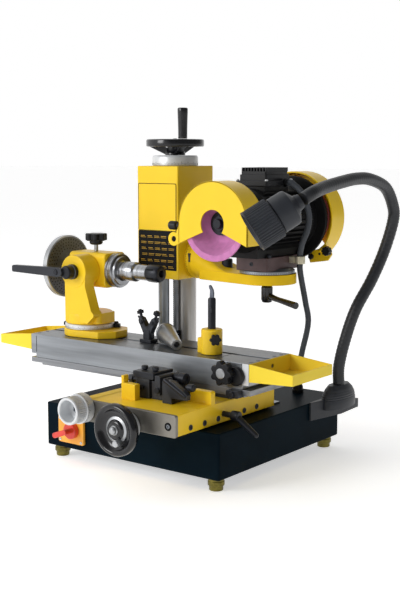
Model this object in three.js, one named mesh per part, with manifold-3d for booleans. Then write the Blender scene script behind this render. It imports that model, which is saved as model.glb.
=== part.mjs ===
// Bench tool and cutter grinder: cabinet on four feet, cross saddle and long table, dividing
// workhead, two-post column with a raised head, and a swivelling double-ended grinding motor.
// Millimetres, +X along the table, +Y to the back, +Z up. The sub-parts are laid out from the
// middle of the cabinet's footprint; ORIGIN then moves the whole so that it stands centred.
import * as THREE from "three";
import { mergeVertices } from "three/addons/utils/BufferGeometryUtils.js";
import Module from "manifold-3d";

const wasm = await Module();
wasm.setup();

// ---- driving dimensions ----------------------------------------------------------------
const GAP = 0.3; // clearance left between any two pieces
const ORIGIN = { x: -43.67, y: -25.55 }; // middle of the overall width and depth
const CABINET = { x: 198, y: 193, z0: 22, z1: 102 }; // half width, half depth, underside, top
const FOOT = { r: 14.5, x: 178, y: 173 };
const SADDLE = { x0: -31, x1: 162, y0: -255, y1: 24.5, z0: 105, z1: 140.5 };
const PLATE_Y = -262; // front face of the saddle's steel front plate
const CROSS = { x: 65, z: 110 }; // cross-feed screw axis, along Y
const DRUM = { x: -38, z: 127 }; // table traverse knob axis, along Y
const TABLE = { x0: -318, x1: 202, y0: -114, y1: 12, z0: 169, z1: 207 };
const TRAY = { length: 87, drop: 9, wall: 2 };
const COLUMN = { x: -127, y: 101, main: 31, mainR: 22.5, guideX: -18, guideY: -15, guideR: 10.8 };
const HEAD = { w: 102, d: 113, z0: 315, z1: 533 };
const ARM_Z = 353; // arm's tilt axis height
const MOTOR = { x: 93, y: 101, z: 435.4, r: 63 }; // spindle axis height, along Y
const GUARD = { front: 75, rear: 88 };
const WORK = { x: -225, y: -45, z: 333 }; // workhead column centre and tilt axis height
const SPINDLE_Y = 25; // work spindle's offset behind the workhead centre
const REST = { x: 93, y: -72 }; // tooth rest post
const LAMP = { x: 212, y: 168, z: 127 };

// ---- finishes ---------------------------------------------------------------------------
const finish = (color, roughness, metalness) => ({ color, roughness, metalness });
const YELLOW = finish(0xf2c91e, 0.42, 0.0);
const NIGHT = finish(0x0b1218, 0.45, 0.0);
const BLACK = finish(0x1b1c20, 0.5, 0.0);
const OXIDE = finish(0x2b2d31, 0.45, 0.5);
const STEEL = finish(0x7c8188, 0.36, 0.9);
const BRIGHT = finish(0xb9bcc0, 0.22, 1.0);
const SILVER = finish(0xa9adb0, 0.34, 0.9);
const BRASS = finish(0x9a8a4a, 0.4, 0.8);
const RED = finish(0xd9412c, 0.4, 0.0);
const ORANGE = finish(0xf0b04a, 0.45, 0.0);
const PINK = finish(0xcf86b8, 0.95, 0.0);
const BROWN = finish(0x6b5558, 0.55, 0.3);
const GREY = finish(0x4a4d52, 0.6, 0.0);

// ---- solid helpers ----------------------------------------------------------------------
const ONTO = {
  x: new THREE.Matrix4().makeBasis(
    new THREE.Vector3(0, 1, 0), new THREE.Vector3(0, 0, 1), new THREE.Vector3(1, 0, 0)),
  y: new THREE.Matrix4().makeBasis(
    new THREE.Vector3(1, 0, 0), new THREE.Vector3(0, 0, 1), new THREE.Vector3(0, -1, 0)),
  z: new THREE.Matrix4(),
};

function positionsOnly(geometry) {
  const g = geometry.clone();
  for (const name of Object.keys(g.attributes)) if (name !== "position") g.deleteAttribute(name);
  return mergeVertices(g, 1e-4);
}

function toSolid(geometry) {
  const g = positionsOnly(geometry);
  const triangles = [];
  for (let i = 0; i < g.index.count; i += 3) {
    const [a, b, c] = [g.index.getX(i), g.index.getX(i + 1), g.index.getX(i + 2)];
    if (a !== b && b !== c && c !== a) triangles.push(a, b, c);
  }
  const mesh = new wasm.Mesh({
    numProp: 3,
    vertProperties: new Float32Array(g.attributes.position.array),
    triVerts: new Uint32Array(triangles),
  });
  return new wasm.Manifold(mesh);
}

function toGeometry(solid) {
  const mesh = solid.getMesh();
  const g = new THREE.BufferGeometry();
  g.setAttribute("position", new THREE.BufferAttribute(mesh.vertProperties, 3));
  g.setIndex(new THREE.BufferAttribute(mesh.triVerts, 1));
  return g;
}

const fuse = (first, ...rest) =>
  toGeometry(rest.reduce((solid, g) => solid.add(toSolid(g)), toSolid(first)));
const cut = (first, ...rest) =>
  toGeometry(rest.reduce((solid, g) => solid.subtract(toSolid(g)), toSolid(first)));
const common = (a, b) => toGeometry(toSolid(a).intersect(toSolid(b)));

/** Box between two corners. */
function box(x0, x1, y0, y1, z0, z1) {
  const g = new THREE.BoxGeometry(x1 - x0, y1 - y0, z1 - z0);
  return g.translate((x0 + x1) / 2, (y0 + y1) / 2, (z0 + z1) / 2);
}

/** Prism of an outline from a to b along an axis; outline is (y,z), (x,z) or (x,y). Arc sets how
 *  finely its curves are stepped. */
function prism(axis, outline, a, b, bevel = 0, arc = 2) {
  const shape = outline instanceof THREE.Shape
    ? outline : new THREE.Shape(outline.map(([u, v]) => new THREE.Vector2(u, v)));
  const g = new THREE.ExtrudeGeometry(shape, {
    depth: b - a - 2 * bevel, bevelEnabled: bevel > 0, bevelSize: bevel, bevelThickness: bevel,
    bevelOffset: -bevel, bevelSegments: 1, curveSegments: arc,
  });
  g.translate(0, 0, axis === "y" ? -b + bevel : a + bevel);
  return g.applyMatrix4(ONTO[axis]);
}

/** Rectangle with rounded corners as a shape. */
function rounded(u0, u1, v0, v1, r) {
  const s = new THREE.Shape();
  s.moveTo(u0 + r, v0).lineTo(u1 - r, v0).absarc(u1 - r, v0 + r, r, -Math.PI / 2, 0);
  s.lineTo(u1, v1 - r).absarc(u1 - r, v1 - r, r, 0, Math.PI / 2);
  s.lineTo(u0 + r, v1).absarc(u0 + r, v1 - r, r, Math.PI / 2, Math.PI);
  s.lineTo(u0, v0 + r).absarc(u0 + r, v0 + r, r, Math.PI, 1.5 * Math.PI);
  return s;
}

/** Turned body about an axis through the local origin; profile of [radius, along], either way round. */
function turned(axis, profile, sides = 24) {
  const points = profile.map(([r, h]) => new THREE.Vector2(r, h));
  if (THREE.ShapeUtils.area(points) < 0) points.reverse();
  const g = new THREE.LatheGeometry(points, sides);
  if (axis === "z") g.rotateX(Math.PI / 2);
  if (axis === "x") g.rotateZ(-Math.PI / 2);
  return g;
}

/** Plain round bar along an axis, at cross position (u, v) in XYZ order. */
function rod(axis, r, a, b, u = 0, v = 0, sides = 24) {
  const g = turned(axis, [[0, a], [r, a], [r, b], [0, b]], sides);
  if (axis === "x") return g.translate(0, u, v);
  return axis === "y" ? g.translate(u, 0, v) : g.translate(u, v, 0);
}

/** Ring about an axis: closed profile. */
function ring(axis, r0, r1, a, b, sides = 24) {
  return turned(axis, [[r0, a], [r1, a], [r1, b], [r0, b], [r0, a]], sides);
}

/** Tapered bar with round ends from p to q, radii rp and rq. */
function handle(p, q, rp, rq, sides = 10) {
  const from = new THREE.Vector3(...p);
  const along = new THREE.Vector3(...q).sub(from);
  const l = along.length();
  const g = new THREE.LatheGeometry([
    [0, -rp * 0.8], [rp * 0.75, -rp * 0.55], [rp, 0], [rq, l], [rq * 0.75, l + rq * 0.55],
    [0, l + rq * 0.8]].map(([r, h]) => new THREE.Vector2(r, h)), sides);
  const turn = new THREE.Quaternion().setFromUnitVectors(new THREE.Vector3(0, 1, 0), along.normalize());
  return g.applyQuaternion(turn).translate(...p);
}

/** Round cord or tube swept along a smooth path. */
function cord(points, r, steps, sides = 8) {
  const path = new THREE.CatmullRomCurve3(points.map((p) => new THREE.Vector3(...p)));
  const circle = new THREE.Shape();
  for (let i = 0; i < sides; i++) {
    const t = (2 * Math.PI * i) / sides;
    if (i === 0) circle.moveTo(r, 0);
    else circle.lineTo(r * Math.cos(t), r * Math.sin(t));
  }
  return new THREE.ExtrudeGeometry(circle, { steps, extrudePath: path, bevelEnabled: false });
}

/** Outline of a lobed hand knob as a shape. */
function lobes(r, depth, count) {
  const points = [];
  for (let i = 0; i < count * 4; i++) {
    const t = (2 * Math.PI * i) / (count * 4);
    const radius = i % 4 === 2 ? r - depth : i % 4 === 0 ? r : r - depth * 0.3;
    points.push([radius * Math.cos(t), radius * Math.sin(t)]);
  }
  return points;
}

/** Lobed knob with a stem, along an axis from the seat at 0 to the cap. */
function starKnob(axis, sign, r, stemR, stem, thick) {
  const [a, b] = sign > 0 ? [stem, stem + thick] : [-stem - thick, -stem];
  const head = prism(axis, lobes(r, r * 0.2, 6), a, b, 1.2);
  const shank = sign > 0 ? rod(axis, stemR, 0, stem + 1, 0, 0, 12) : rod(axis, stemR, -stem - 1, 0, 0, 0, 12);
  return fuse(head, shank);
}

const machine = new THREE.Group();
machine.name = "tool_grinder";

function piece(parent, name, look, geometry, position = [0, 0, 0]) {
  const mesh = new THREE.Mesh(geometry, new THREE.MeshStandardMaterial(look));
  mesh.name = name;
  mesh.position.set(...position);
  parent.add(mesh);
  return mesh;
}

function station(x, y, z) {
  const group = new THREE.Group();
  group.position.set(x, y, z);
  machine.add(group);
  return group;
}

// ---- base ---------------------------------------------------------------------------------
function cabinet() {
  const { x, y, z0, z1 } = CABINET;
  const block = prism("z", rounded(-x, x, -y, y, 4), z0, z1, 1.5);
  const screwWell = rod("z", 8, 50, z1 + 1, COLUMN.x, COLUMN.y, 16);
  piece(machine, "cabinet", NIGHT, cut(block, screwWell));
}

function feet() {
  const top = CABINET.z0 - GAP;
  const profile = [[0, 0], [12, 0], [FOOT.r - 2, 2], [FOOT.r - 2, 9], [FOOT.r, 11], [FOOT.r, top], [0, top]];
  for (const [name, sx, sy] of [["foot_fl", -1, -1], ["foot_fr", 1, -1], ["foot_rl", -1, 1], ["foot_rr", 1, 1]]) {
    piece(machine, name, BRASS, turned("z", profile, 20), [sx * FOOT.x, sy * FOOT.y, 0]);
  }
}

function crossWay() {
  const z = CABINET.z1 + GAP;
  const bed = box(-20, 150, -189, 62, z, 104.6);
  const tongue = box(CROSS.x - 29.5, CROSS.x + 29.5, -189, 62, z, 119.6);
  const bore = rod("y", 5.6, -200, 20, CROSS.x, CROSS.z, 20);
  piece(machine, "cross_way", STEEL, cut(fuse(bed, tongue), bore));
}

function columnFoot() {
  const z = CABINET.z1 + GAP;
  const plate = prism("z", rounded(-60, 60, -58, 66, 12), z, 118, 1);
  const nut = rod("z", 8.1, 110, 204, 0, 0, 20);
  const bore = rod("z", 5.85, z - 1, 205, 0, 0, 20);
  piece(machine, "column_foot", NIGHT, cut(fuse(plate, nut), bore), [COLUMN.x, COLUMN.y, 0]);
}

function posts() {
  const z0 = 118 + GAP;
  const main = turned("z", [[0, z0], [COLUMN.mainR, z0], [COLUMN.mainR, 464], [0, 464]], 40);
  piece(machine, "column_post", BRIGHT, main, [COLUMN.x, COLUMN.y + COLUMN.main, 0]);
  const guide = turned("z", [[0, z0], [COLUMN.guideR, z0], [COLUMN.guideR, 464], [0, 464]], 28);
  piece(machine, "guide_post", STEEL, guide, [COLUMN.x + COLUMN.guideX, COLUMN.y + COLUMN.guideY, 0]);
}

function switchGear() {
  const y = -CABINET.y - GAP;
  const plate = prism("y", rounded(-31, 31, -25, 25, 3), -6, 0, 1);
  piece(machine, "switch_plate", ORANGE, plate, [-132, y, 59]);
  const disc = rod("y", 15, -18, 0, 0, 0, 24);
  const grip = prism("y", rounded(-22, 13, -5, 5, 4), -32, -14, 1.5);
  const knob = piece(machine, "switch_knob", RED, fuse(disc, grip), [-126, y - 6 - GAP, 60]);
  knob.rotation.y = -0.35;
}

// ---- work lamp ----------------------------------------------------------------------------
function lamp() {
  const side = CABINET.x + GAP;
  const heel = prism("z", [[side, 86], [202, 86], [218, 170], [214, 241], [side, 241]], 70, 87);
  const wing = prism("z", [[side, 86], [202, 86], [214, 149], [side, 149]], 86, 104);
  const dome = turned("z", [[0, 84], [34, 84], [34, 99], [32.5, 108], [29, 117], [24, 124], [20, LAMP.z], [0, LAMP.z]], 32);
  dome.scale(0.66, 1.5, 1);
  const bench = box(0, side, 0, 260, 0, CABINET.z1 + GAP);
  piece(machine, "lamp_foot", BLACK, fuse(wing, heel, cut(dome.translate(LAMP.x - 2, LAMP.y + 3, 0), bench)));
  const arm = station(LAMP.x, LAMP.y, LAMP.z);
  const neck = cord([[0, 0, GAP], [0.5, -0.7, 35], [10, 4.6, 86.4], [24, 16.8, 142.4], [40, 46.8, 196.5],
    [53, 70.6, 252.1], [65.4, 78.5, 307.9], [69, 67, 337], [71, 33, 369], [75, -32, 385], [78, -88, 387],
    [82, -149, 382], [88, -212, 375], [95, -259, 367.5], [89, -274.3, 358.8]], 11, 36, 8);
  piece(arm, "lamp_neck", BLACK, neck);
  const shade = turned("y", [[0, 3], [11, 3], [13, 8], [30, 22], [31, 50], [35, 52], [35.5, 96],
    [31.5, 96], [31.5, 70], [0, 62]], 28);
  const head = piece(arm, "lamp_head", BLACK, shade, [88, -275.4, 358]);
  head.quaternion.setFromUnitVectors(
    new THREE.Vector3(0, 1, 0), new THREE.Vector3(-0.62, -0.58, -0.53).normalize());
}

// ---- raised head, its screw and the arm ----------------------------------------------------
function head() {
  const { w, d, z0, z1 } = HEAD;
  const block = prism("z", rounded(-w / 2, w / 2, -56, d - 56, 3), z0, z1, 1);
  const mainBore = turned("z", [[0, z0 - 1], [22.8, z0 - 1], [22.8, 504], [0, 504]], 40);
  const guideBore = turned("z", [[0, z0 - 1], [11.1, z0 - 1], [11.1, 504], [0, 504]], 28);
  const screwBore = rod("z", 6, z0 - 1, z1 + 1, 0, 0, 20);
  const body = cut(block, mainBore.translate(0, COLUMN.main, 0),
    guideBore.translate(COLUMN.guideX, COLUMN.guideY, 0), screwBore);
  piece(machine, "head_housing", YELLOW, body, [COLUMN.x, COLUMN.y, 0]);
}

function liftWheel() {
  const lift = station(COLUMN.x, COLUMN.y, HEAD.z1);
  piece(lift, "elevating_screw", STEEL, rod("z", 5.5, 98 - HEAD.z1, 20, 0, 0, 20));
  piece(lift, "lift_dial", SILVER, turned("z", [[6.4, GAP], [45, GAP], [45, 17], [43, 20.4], [6.4, 20.4],
    [6.4, GAP]], 32));
  const hub = turned("z", [[0, 20.8], [20, 20.8], [20, 27], [14, 40], [9, 44], [0, 45]], 20);
  const rim = ring("z", 47, 57, 37, 52, 32);
  const wheel = [0, 1, 2].map((i) => {
    const spoke = prism("y", [[10, 23], [19, 23], [52, 40], [52, 49], [44, 49]], -6, 6);
    return spoke.rotateZ(-0.59 + (i * 2 * Math.PI) / 3);
  });
  piece(lift, "lift_handwheel", BLACK, fuse(hub, rim, ...wheel));
  const grip = turned("z", [[0, 0], [8, 0], [8.3, 3], [8.6, 24], [10.2, 50], [10.2, 57], [9.4, 59], [0, 59]], 18);
  piece(lift, "lift_grip", BLACK, grip, [39.5, -26, 52 + GAP]);
}

function arm() {
  const x0 = COLUMN.x + HEAD.w / 2 + GAP;
  const reach = MOTOR.x - x0;
  const root = station(x0, MOTOR.y, ARM_Z);
  const flange = turned("x", [[0, 0], [39, 0], [39, 9], [36, 13], [0, 13]], 36);
  const barrel = rod("x", 36, 5, 108, 0, 0, 36);
  const slope = prism("y", [[5, -36], [108, -36], [108, -16], [60, -8], [34, 16], [18, 36], [5, 36]], -40, 40);
  const plan = new THREE.Shape();
  plan.moveTo(30, -34).lineTo(reach, -55).absarc(reach, 0, 55, -Math.PI / 2, Math.PI / 2).lineTo(30, 34);
  const slab = prism("z", plan, -36, -17, 1, 8);
  piece(root, "arm", YELLOW, fuse(flange, common(barrel, slope), slab));
  const hub = turned("z", [[0, -37], [9, -37], [11, -34], [11, -8], [8, 0], [0, 0]], 20);
  const lever = handle([0, 0, -24], [84, -30, -33], 6.5, 4.5);
  piece(root, "arm_lever", BLACK, fuse(hub, lever), [reach, 0, -36 - GAP]);
}

// ---- grinding motor --------------------------------------------------------------------------
function motor() {
  const { r } = MOTOR;
  const m = station(MOTOR.x, MOTOR.y, MOTOR.z);
  const plateTop = -66.4;
  const disc = turned("z", [[0, -99.1], [52, -99.1], [52, -92], [46, -89], [0, -89]], 40);
  const block = prism("z", rounded(-31, 39, -58, 64, 3), -91, plateTop, 1);
  piece(m, "swivel_base", BROWN, fuse(disc, block));
  const shell = turned("y", [[0, -118], [34, -118], [46, -112], [58, -84], [60, -78], [60, -74], [r, -72],
    [r, 62], [60, 64], [60, 77], [80, 77], [80, 84], [0, 84]], 32);
  const foot = box(-27, 33, -82, 58, plateTop + GAP, -40);
  const pad = box(-28, 28, -52, 25, 40, 63.3);
  const shaftBore = rod("y", 8.5, -120, 86, 0, 0, 20);
  const fins = [-2, -1, 0, 1, 2].map((i) =>
    box(-r - 3, r + 3, -58, 50, -1.6, 1.6).rotateY((i * Math.PI) / 14));
  piece(m, "motor_body", BLACK, cut(fuse(shell, foot, pad, ...fins), shaftBore));
  const lower = prism("z", rounded(-34, 36, -57, 30, 4), 63.6, 74, 1);
  const lid = prism("z", rounded(-26, 29, -50, 23, 3), 72, 97, 1.5);
  const gland = rod("x", 7, 34, 43, 4, 68.4, 16);
  piece(m, "terminal_box", BLACK, fuse(lower, lid, gland));
  const bracket = box(39.3, 68, 12, 30, -81, -67);
  const eye = rod("z", 6.2, -82, -66, 59, 21, 16);
  piece(m, "conduit_clamp", BRASS, cut(bracket, eye));
  piece(m, "conduit_upper", GREY, cord([[43.4, 4, 68.4], [50, 4.2, 68.2], [66, 16, 48], [75, 24, 12],
    [74, 22, -16], [66, 17, -42], [59.5, 21, -60], [59, 21, -72], [59, 21, -82]], 5.5, 22, 8));
  rotor(m);
  guards(m);
}

function rotor(m) {
  const shaft = turned("y", [[0, -160], [11, -158], [13, -152], [13, -142], [8, -142], [8, 128], [13, 128],
    [13, 138], [0, 138]], 20);
  piece(m, "rotor_shaft", STEEL, shaft);
  const cup = turned("y", [[8.6, -130], [40, -130], [46, -138], [66, -166], [66, -169], [54, -169],
    [33, -141], [8.6, -141.5], [8.6, -130]], 32);
  piece(m, "cup_wheel", PINK, cup);
  piece(m, "rear_wheel", PINK, ring("y", 8.6, 62, 102, 122, 32));
}

/** Guard outline: round top, straight cheeks down, and a wedge open to the spindle below. */
function guardOutline(r, cheek, hub) {
  const s = new THREE.Shape();
  const open = Math.atan2(-cheek * 0.42, r * 0.9);
  s.moveTo(r, 0).absarc(0, 0, r, 0, Math.PI).lineTo(-r, -cheek);
  s.lineTo(-r * 0.9, -cheek).lineTo(-hub * Math.cos(open), hub * Math.sin(open));
  s.absarc(0, 0, hub, Math.PI - open, open, true);
  s.lineTo(r * 0.9, -cheek).lineTo(r, -cheek);
  return s;
}

/** The guard's round wall: a strip of sheet following the outline's outer edge. */
function guardWall(r, cheek, thick, a, b) {
  const s = new THREE.Shape();
  s.moveTo(r, -cheek).lineTo(r, 0).absarc(0, 0, r, 0, Math.PI).lineTo(-r, -cheek);
  s.lineTo(-r + thick, -cheek).lineTo(-r + thick, 0).absarc(0, 0, r - thick, Math.PI, 0, true);
  s.lineTo(r - thick, -cheek);
  return prism("y", s, a, b, 0, 10);
}

function guards(m) {
  const r = GUARD.front;
  const face = prism("y", guardOutline(r, 36, 20), -173, -170.4, 0, 10);
  const back = prism("y", guardOutline(r, 36, 40), -125.6, -123, 0, 10);
  const ear = prism("y", rounded(-91, -66, -36, -12, 11), -173, -170.4);
  const hole = rod("y", 5, -175, -168, -80, -24, 14);
  const wall = guardWall(r, 36, 2.6, -173, -123);
  piece(m, "front_guard", YELLOW, cut(fuse(face, back, wall, ear), hole));
  const R = GUARD.rear;
  const turn = (t, q) => [q * Math.cos((t * Math.PI) / 180), q * Math.sin((t * Math.PI) / 180)];
  const sweep = (q, t0, t1, n) => Array.from({ length: n + 1 }, (_, i) => turn(t0 + ((t1 - t0) * i) / n, q));
  const band = prism("y", [...sweep(R, -48, 205, 34), ...sweep(R - 3, 205, -48, 34)], 87, 132);
  const plate = prism("y", [...sweep(R - 0.5, -48, 205, 34), ...sweep(22, 205, -48, 20)], 129, 132);
  const tongue = prism("y", [[30, -65], [37, -86], [76, -80], [82, -70], [66, -50], [56, -58]], 92, 97);
  piece(m, "rear_guard", YELLOW, fuse(band, plate, tongue));
}

// ---- conduit from the motor down to the cabinet ---------------------------------------------
function conduit() {
  const top = CABINET.z1 + GAP;
  const gland = turned("z", [[0, top], [11, top], [11, 112], [8, 118], [0, 118]], 16);
  piece(machine, "cabinet_gland", BLACK, gland, [128, 158, 0]);
  const start = [MOTOR.x + 59, MOTOR.y + 21, MOTOR.z - 82 - GAP];
  const drop = cord([start, [152, 122, 344], [151, 130, 322], [150, 146, 280], [148, 160, 238], [134, 161, 178],
    [128, 158, 136], [128, 158, 118 + GAP]], 5.5, 22, 8);
  piece(machine, "conduit_lower", GREY, drop);
}

// ---- saddle and its controls -----------------------------------------------------------------
function saddle() {
  const { x0, x1, y0, y1, z0, z1 } = SADDLE;
  const block = box(x0, x1, y0, y1, z0, z1);
  const boss = box(x0 - 21, x0 + 1, y0, -40, 112, z1);
  const left = prism("y", [[6.5, z1 - 1], [37.5, z1 - 1], [37.5, 167.5], [12.5, 168.5], [12.5, 181], [6.5, 181]], -216, -203);
  const right = prism("x", [[-190, z1 - 1], [-162, z1 - 1], [-162, 158], [-172, 163], [-190, 163]], 108, 146);
  const groove = box(CROSS.x - 30, CROSS.x + 30, y0 - 1, y1 + 1, z0 - 1, 120);
  const shaftBore = rod("y", 5.6, y0 - 1, -60, DRUM.x, DRUM.z, 20);
  piece(machine, "saddle", YELLOW, cut(fuse(block, boss, left, right), groove, shaftBore));
  const outline = rounded(-60, x1 + 1, 103.5, 141, 4);
  const plate = prism("y", outline, PLATE_Y, y0 - GAP, 0.8);
  const bores = [rod("y", 5.6, PLATE_Y - 1, y0 + 1, CROSS.x, CROSS.z, 20),
    rod("y", 5.6, PLATE_Y - 1, y0 + 1, DRUM.x, DRUM.z, 20),
    rod("y", 4, PLATE_Y - 1, PLATE_Y + 3, 147, 121, 14)];
  piece(machine, "front_plate", STEEL, cut(plate, ...bores));
  piece(machine, "table_way", OXIDE, box(x0, x1 - 1, -108, y1 - 3, z1 + GAP, 148));
}

/** Black table stop: a split casting between the uprights, a clamp barrel behind it and a wedge lever. */
function stopBlock() {
  const z = SADDLE.z1 + GAP;
  const left = box(20, 49, -192, -137, z, 177);
  const cap = box(14, 60, -194, -140, 175, 187);
  const middle = box(46, 88, -189, -140, z, 172);
  const rib = box(62, 74, -193, -140, 150, 183);
  const barrel = rod("x", 9, 40, 98, -150, 174, 18);
  const wedge = prism("y", [[86, z], [106, z], [106, 151], [138, 151], [139, 160], [106, 180], [86, 178]], -202, -191);
  const root = box(84, 105, -192, -150, z, 160);
  const nut = rod("x", 8, 0, 21, -184, 170, 14);
  const slit = box(49, 52, -200, -184, z - 1, 190);
  piece(machine, "stop_block", OXIDE,
    cut(fuse(left, cap, middle, rib, barrel, wedge, root, nut), slit));
}

function crossFeed() {
  const c = station(CROSS.x, PLATE_Y, CROSS.z);
  const screw = turned("y", [[0, -41], [5, -41], [5, -20], [25, -20], [25, -2], [22, -GAP], [5.2, -GAP],
    [5.2, 210], [0, 212]], 28);
  piece(c, "cross_screw", SILVER, screw);
  const wheel = turned("y", [[5.3, -22], [14, -22], [16, -27], [36, -24], [44, -30], [44, -38], [39, -42],
    [34, -38], [30, -33], [15, -33], [12, -39], [5.3, -39], [5.3, -22]], 32);
  const crank = turned("y", [[0, 0], [6, 0], [6.5, -8], [4, -14], [0, -15]], 16);
  crank.translate(8, -32, -20);
  piece(c, "cross_handwheel", BLACK, fuse(wheel, crank));
  const centre = rod("y", 5, -24, -14, 0, 0, 16);
  const shell = turned("y", [[0, 32], [5.2, 32], [5.2, -GAP], [26, -GAP], [26, -18], [23.5, -20],
    [23.5, -41], [19, -41], [18, -16], [0, -16]], 32);
  piece(machine, "table_knob", SILVER, fuse(shell, centre), [DRUM.x, PLATE_Y, DRUM.z]);
}

function saddleLever() {
  const hub = [190, -132, 120];
  const stud = rod("x", 5, SADDLE.x1 + GAP, 188, hub[1], hub[2], 14);
  const head = rod("x", 8.5, 182, 196, hub[1], hub[2], 18);
  const bar = handle([191, -132, 118], [226, -126, 91], 6.5, 4);
  piece(machine, "saddle_lever", OXIDE, fuse(stud, head, bar));
}

// ---- table ------------------------------------------------------------------------------------
function tables() {
  const { x0, x1, y0, y1, z0, z1 } = TABLE;
  const lower = box(x0, x1 + 3, y0, 10, 151.8, 161.4);
  const rail = box(x0 + 28, x1 - 10, y0 + 1, 10, 148.3, 152);
  const pivot = rod("z", 20, 160, 161.7, -58, -51, 28);
  piece(machine, "lower_table", STEEL, fuse(lower, rail, pivot));
  const slab = prism("y", [[x0, z0], [x0 + 13, z0], [x0 + 13, 162], [x1 - 13, 162], [x1 - 13, z0], [x1, z0], [x1, z1],
    [x0, z1]], y0, y1);
  const slot = box(x0 - 1, x1 + 1, -56, -46, z1 - 9, z1 + 1);
  const under = box(x0 - 1, x1 + 1, -60, -42, z1 - 16, z1 - 9.2 + 0.4);
  const line = box(124, 124.8, y0 - 1, -55.5, z1 - 0.6, z1 + 1); // engraved setting line
  piece(machine, "upper_table", STEEL, cut(slab, slot, under, line));
  const knob = starKnob("y", -1, 21.5, 9, 8, 14);
  piece(machine, "table_star_knob", BLACK, knob, [158.5, y0 - GAP, 189]);
}

/** Sheet tray hung on a table end; sign +1 for the right end, -1 for the left. */
function tray(sign) {
  const { length, drop, wall } = TRAY;
  const { y0, y1, z1 } = TABLE;
  const side = [[0, z1 - 31], [length, z1 - 27], [length, z1 - drop], [0, z1]];
  const well = [[wall, z1 - 29], [length - wall, z1 - 25], [length - wall, z1 + 5], [wall, z1 + 5]];
  const flip = (outline) => (sign > 0 ? outline : outline.map(([u, v]) => [-u, v]));
  const shell = cut(prism("y", flip(side), y0, y1), prism("y", flip(well), y0 + wall, y1 - wall));
  const [a, b] = sign > 0 ? [-1, wall + 1] : [-wall - 1, 1];
  return cut(shell, rod("x", 4, a, b, -45, z1 - 13, 14));
}

function trays() {
  piece(machine, "right_tray", YELLOW, tray(1), [TABLE.x1 + GAP, 0, 0]);
  piece(machine, "left_tray", YELLOW, tray(-1), [TABLE.x0 - GAP, 0, 0]);
}

// ---- workhead -----------------------------------------------------------------------------------
function workhead() {
  const w = station(WORK.x, WORK.y, TABLE.z1);
  const top = TABLE.z1;
  const outline = new THREE.Shape();
  outline.moveTo(0, -50).lineTo(60, -43).lineTo(82, -16).lineTo(82, 16).lineTo(60, 43).lineTo(0, 50);
  outline.absarc(0, 0, 50, Math.PI / 2, 1.5 * Math.PI);
  piece(w, "workhead_base", YELLOW, prism("z", outline, GAP, 14, 1, 8));
  const clamps = [box(36, 54, 18, 36, 14.3, 24), box(-60, -42, -17, -1, 14.3, 24)];
  piece(w, "swivel_ring", SILVER, fuse(rod("z", 48, 14.3, 24, 0, 0, 40), ...clamps));
  const z = WORK.z - top;
  const turntable = turned("z", [[0, 24.3], [46, 24.3], [46, 43], [43, 46], [0, 46]], 36);
  const lug = box(20, 52, -30, 20, 26.3, 46);
  const column = prism("y", [[-24, 30], [26, 30], [48, 45], [44, 58], [30, 104], [30, z], [-24, z]], -44, -20);
  const boss = rod("y", 32, -45, -5.3, 0, z, 32);
  const socket = rod("y", 8.2, -50, 0, 0, z, 16);
  piece(w, "workhead_yoke", YELLOW, cut(fuse(turntable, lug, column, boss), socket));
  const nut = rod("y", 13, -68, -45.3, 0, z, 18);
  const lever = prism("x", [[-73, z - 6], [-63, z - 7.5], [-61, z + 7.5], [-73, z + 6]], -140, 8);
  piece(w, "workhead_lever", OXIDE, fuse(nut, lever));
  workSpindle(w, z);
}

function workSpindle(w, z) {
  const y = SPINDLE_Y;
  const section = rounded(y - 30, y + 30, z - 33, z + 34, 9);
  const trunnion = rod("y", 7.8, -30, 0, 0, z, 16);
  const body = fuse(prism("x", section, -49, 45, 1.5), trunnion);
  const bore = rod("x", 12.4, -50, 46, y, z, 24);
  piece(w, "workhead_barrel", YELLOW, cut(body, bore));
  const knob = fuse(starKnob("z", 1, 21.5, 4, 21, 14), rod("z", 13, 10, 22, 0, 0, 18));
  piece(w, "spindle_star_knob", BLACK, knob, [-4, y, z + 34 + GAP]);
  const spindle = turned("x", [[0, -97], [9, -97], [12, -93], [12, 45.4], [33, 45.4], [33, 50], [31, 52],
    [33, 54], [33, 62], [27, 67], [18.7, 67], [18.7, 101], [14.8, 103], [14.8, 131], [0, 131]], 24);
  piece(w, "work_spindle", BRIGHT, spindle, [0, y, z]);
  piece(w, "index_disc", STEEL, ring("x", 12.4, 62, -91, -79, 36), [0, y, z]);
  const nut = turned("x", [[6, 131.3], [15, 131.3], [16.5, 136], [16.5, 156], [13, 161], [7, 161], [6, 160],
    [6, 131.3]], 48);
  piece(w, "collet_nut", BLACK, nut, [0, y, z]);
}

// ---- tooth rests and tool sleeve ------------------------------------------------------------------
function toothRest() {
  const r = station(REST.x, REST.y, TABLE.z1);
  const holder = fuse(turned("z", [[0, GAP], [19, GAP], [19, 43], [17, 45], [0, 45]], 28),
    box(-28, -10, -7, 12, GAP, 27));
  piece(r, "toothrest_holder", YELLOW, cut(holder, rod("z", 7.4, 8, 46, 0, 0, 20)));
  const post = rod("z", 7, 10, 100, 0, 0, 20);
  const blade = prism("y", [[-4, 98], [4, 98], [4, 112], [-1, 122], [-6, 122], [-3, 112]], -2, 2);
  piece(r, "toothrest_post", OXIDE, fuse(post, blade));
  const lock = piece(r, "toothrest_knob", BLACK, starKnob("y", -1, 10.5, 4, 5, 8),
    [0.76 * (19 + GAP), -0.65 * (19 + GAP), 29]);
  lock.rotation.z = Math.atan2(0.76, 0.65);
}

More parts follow.
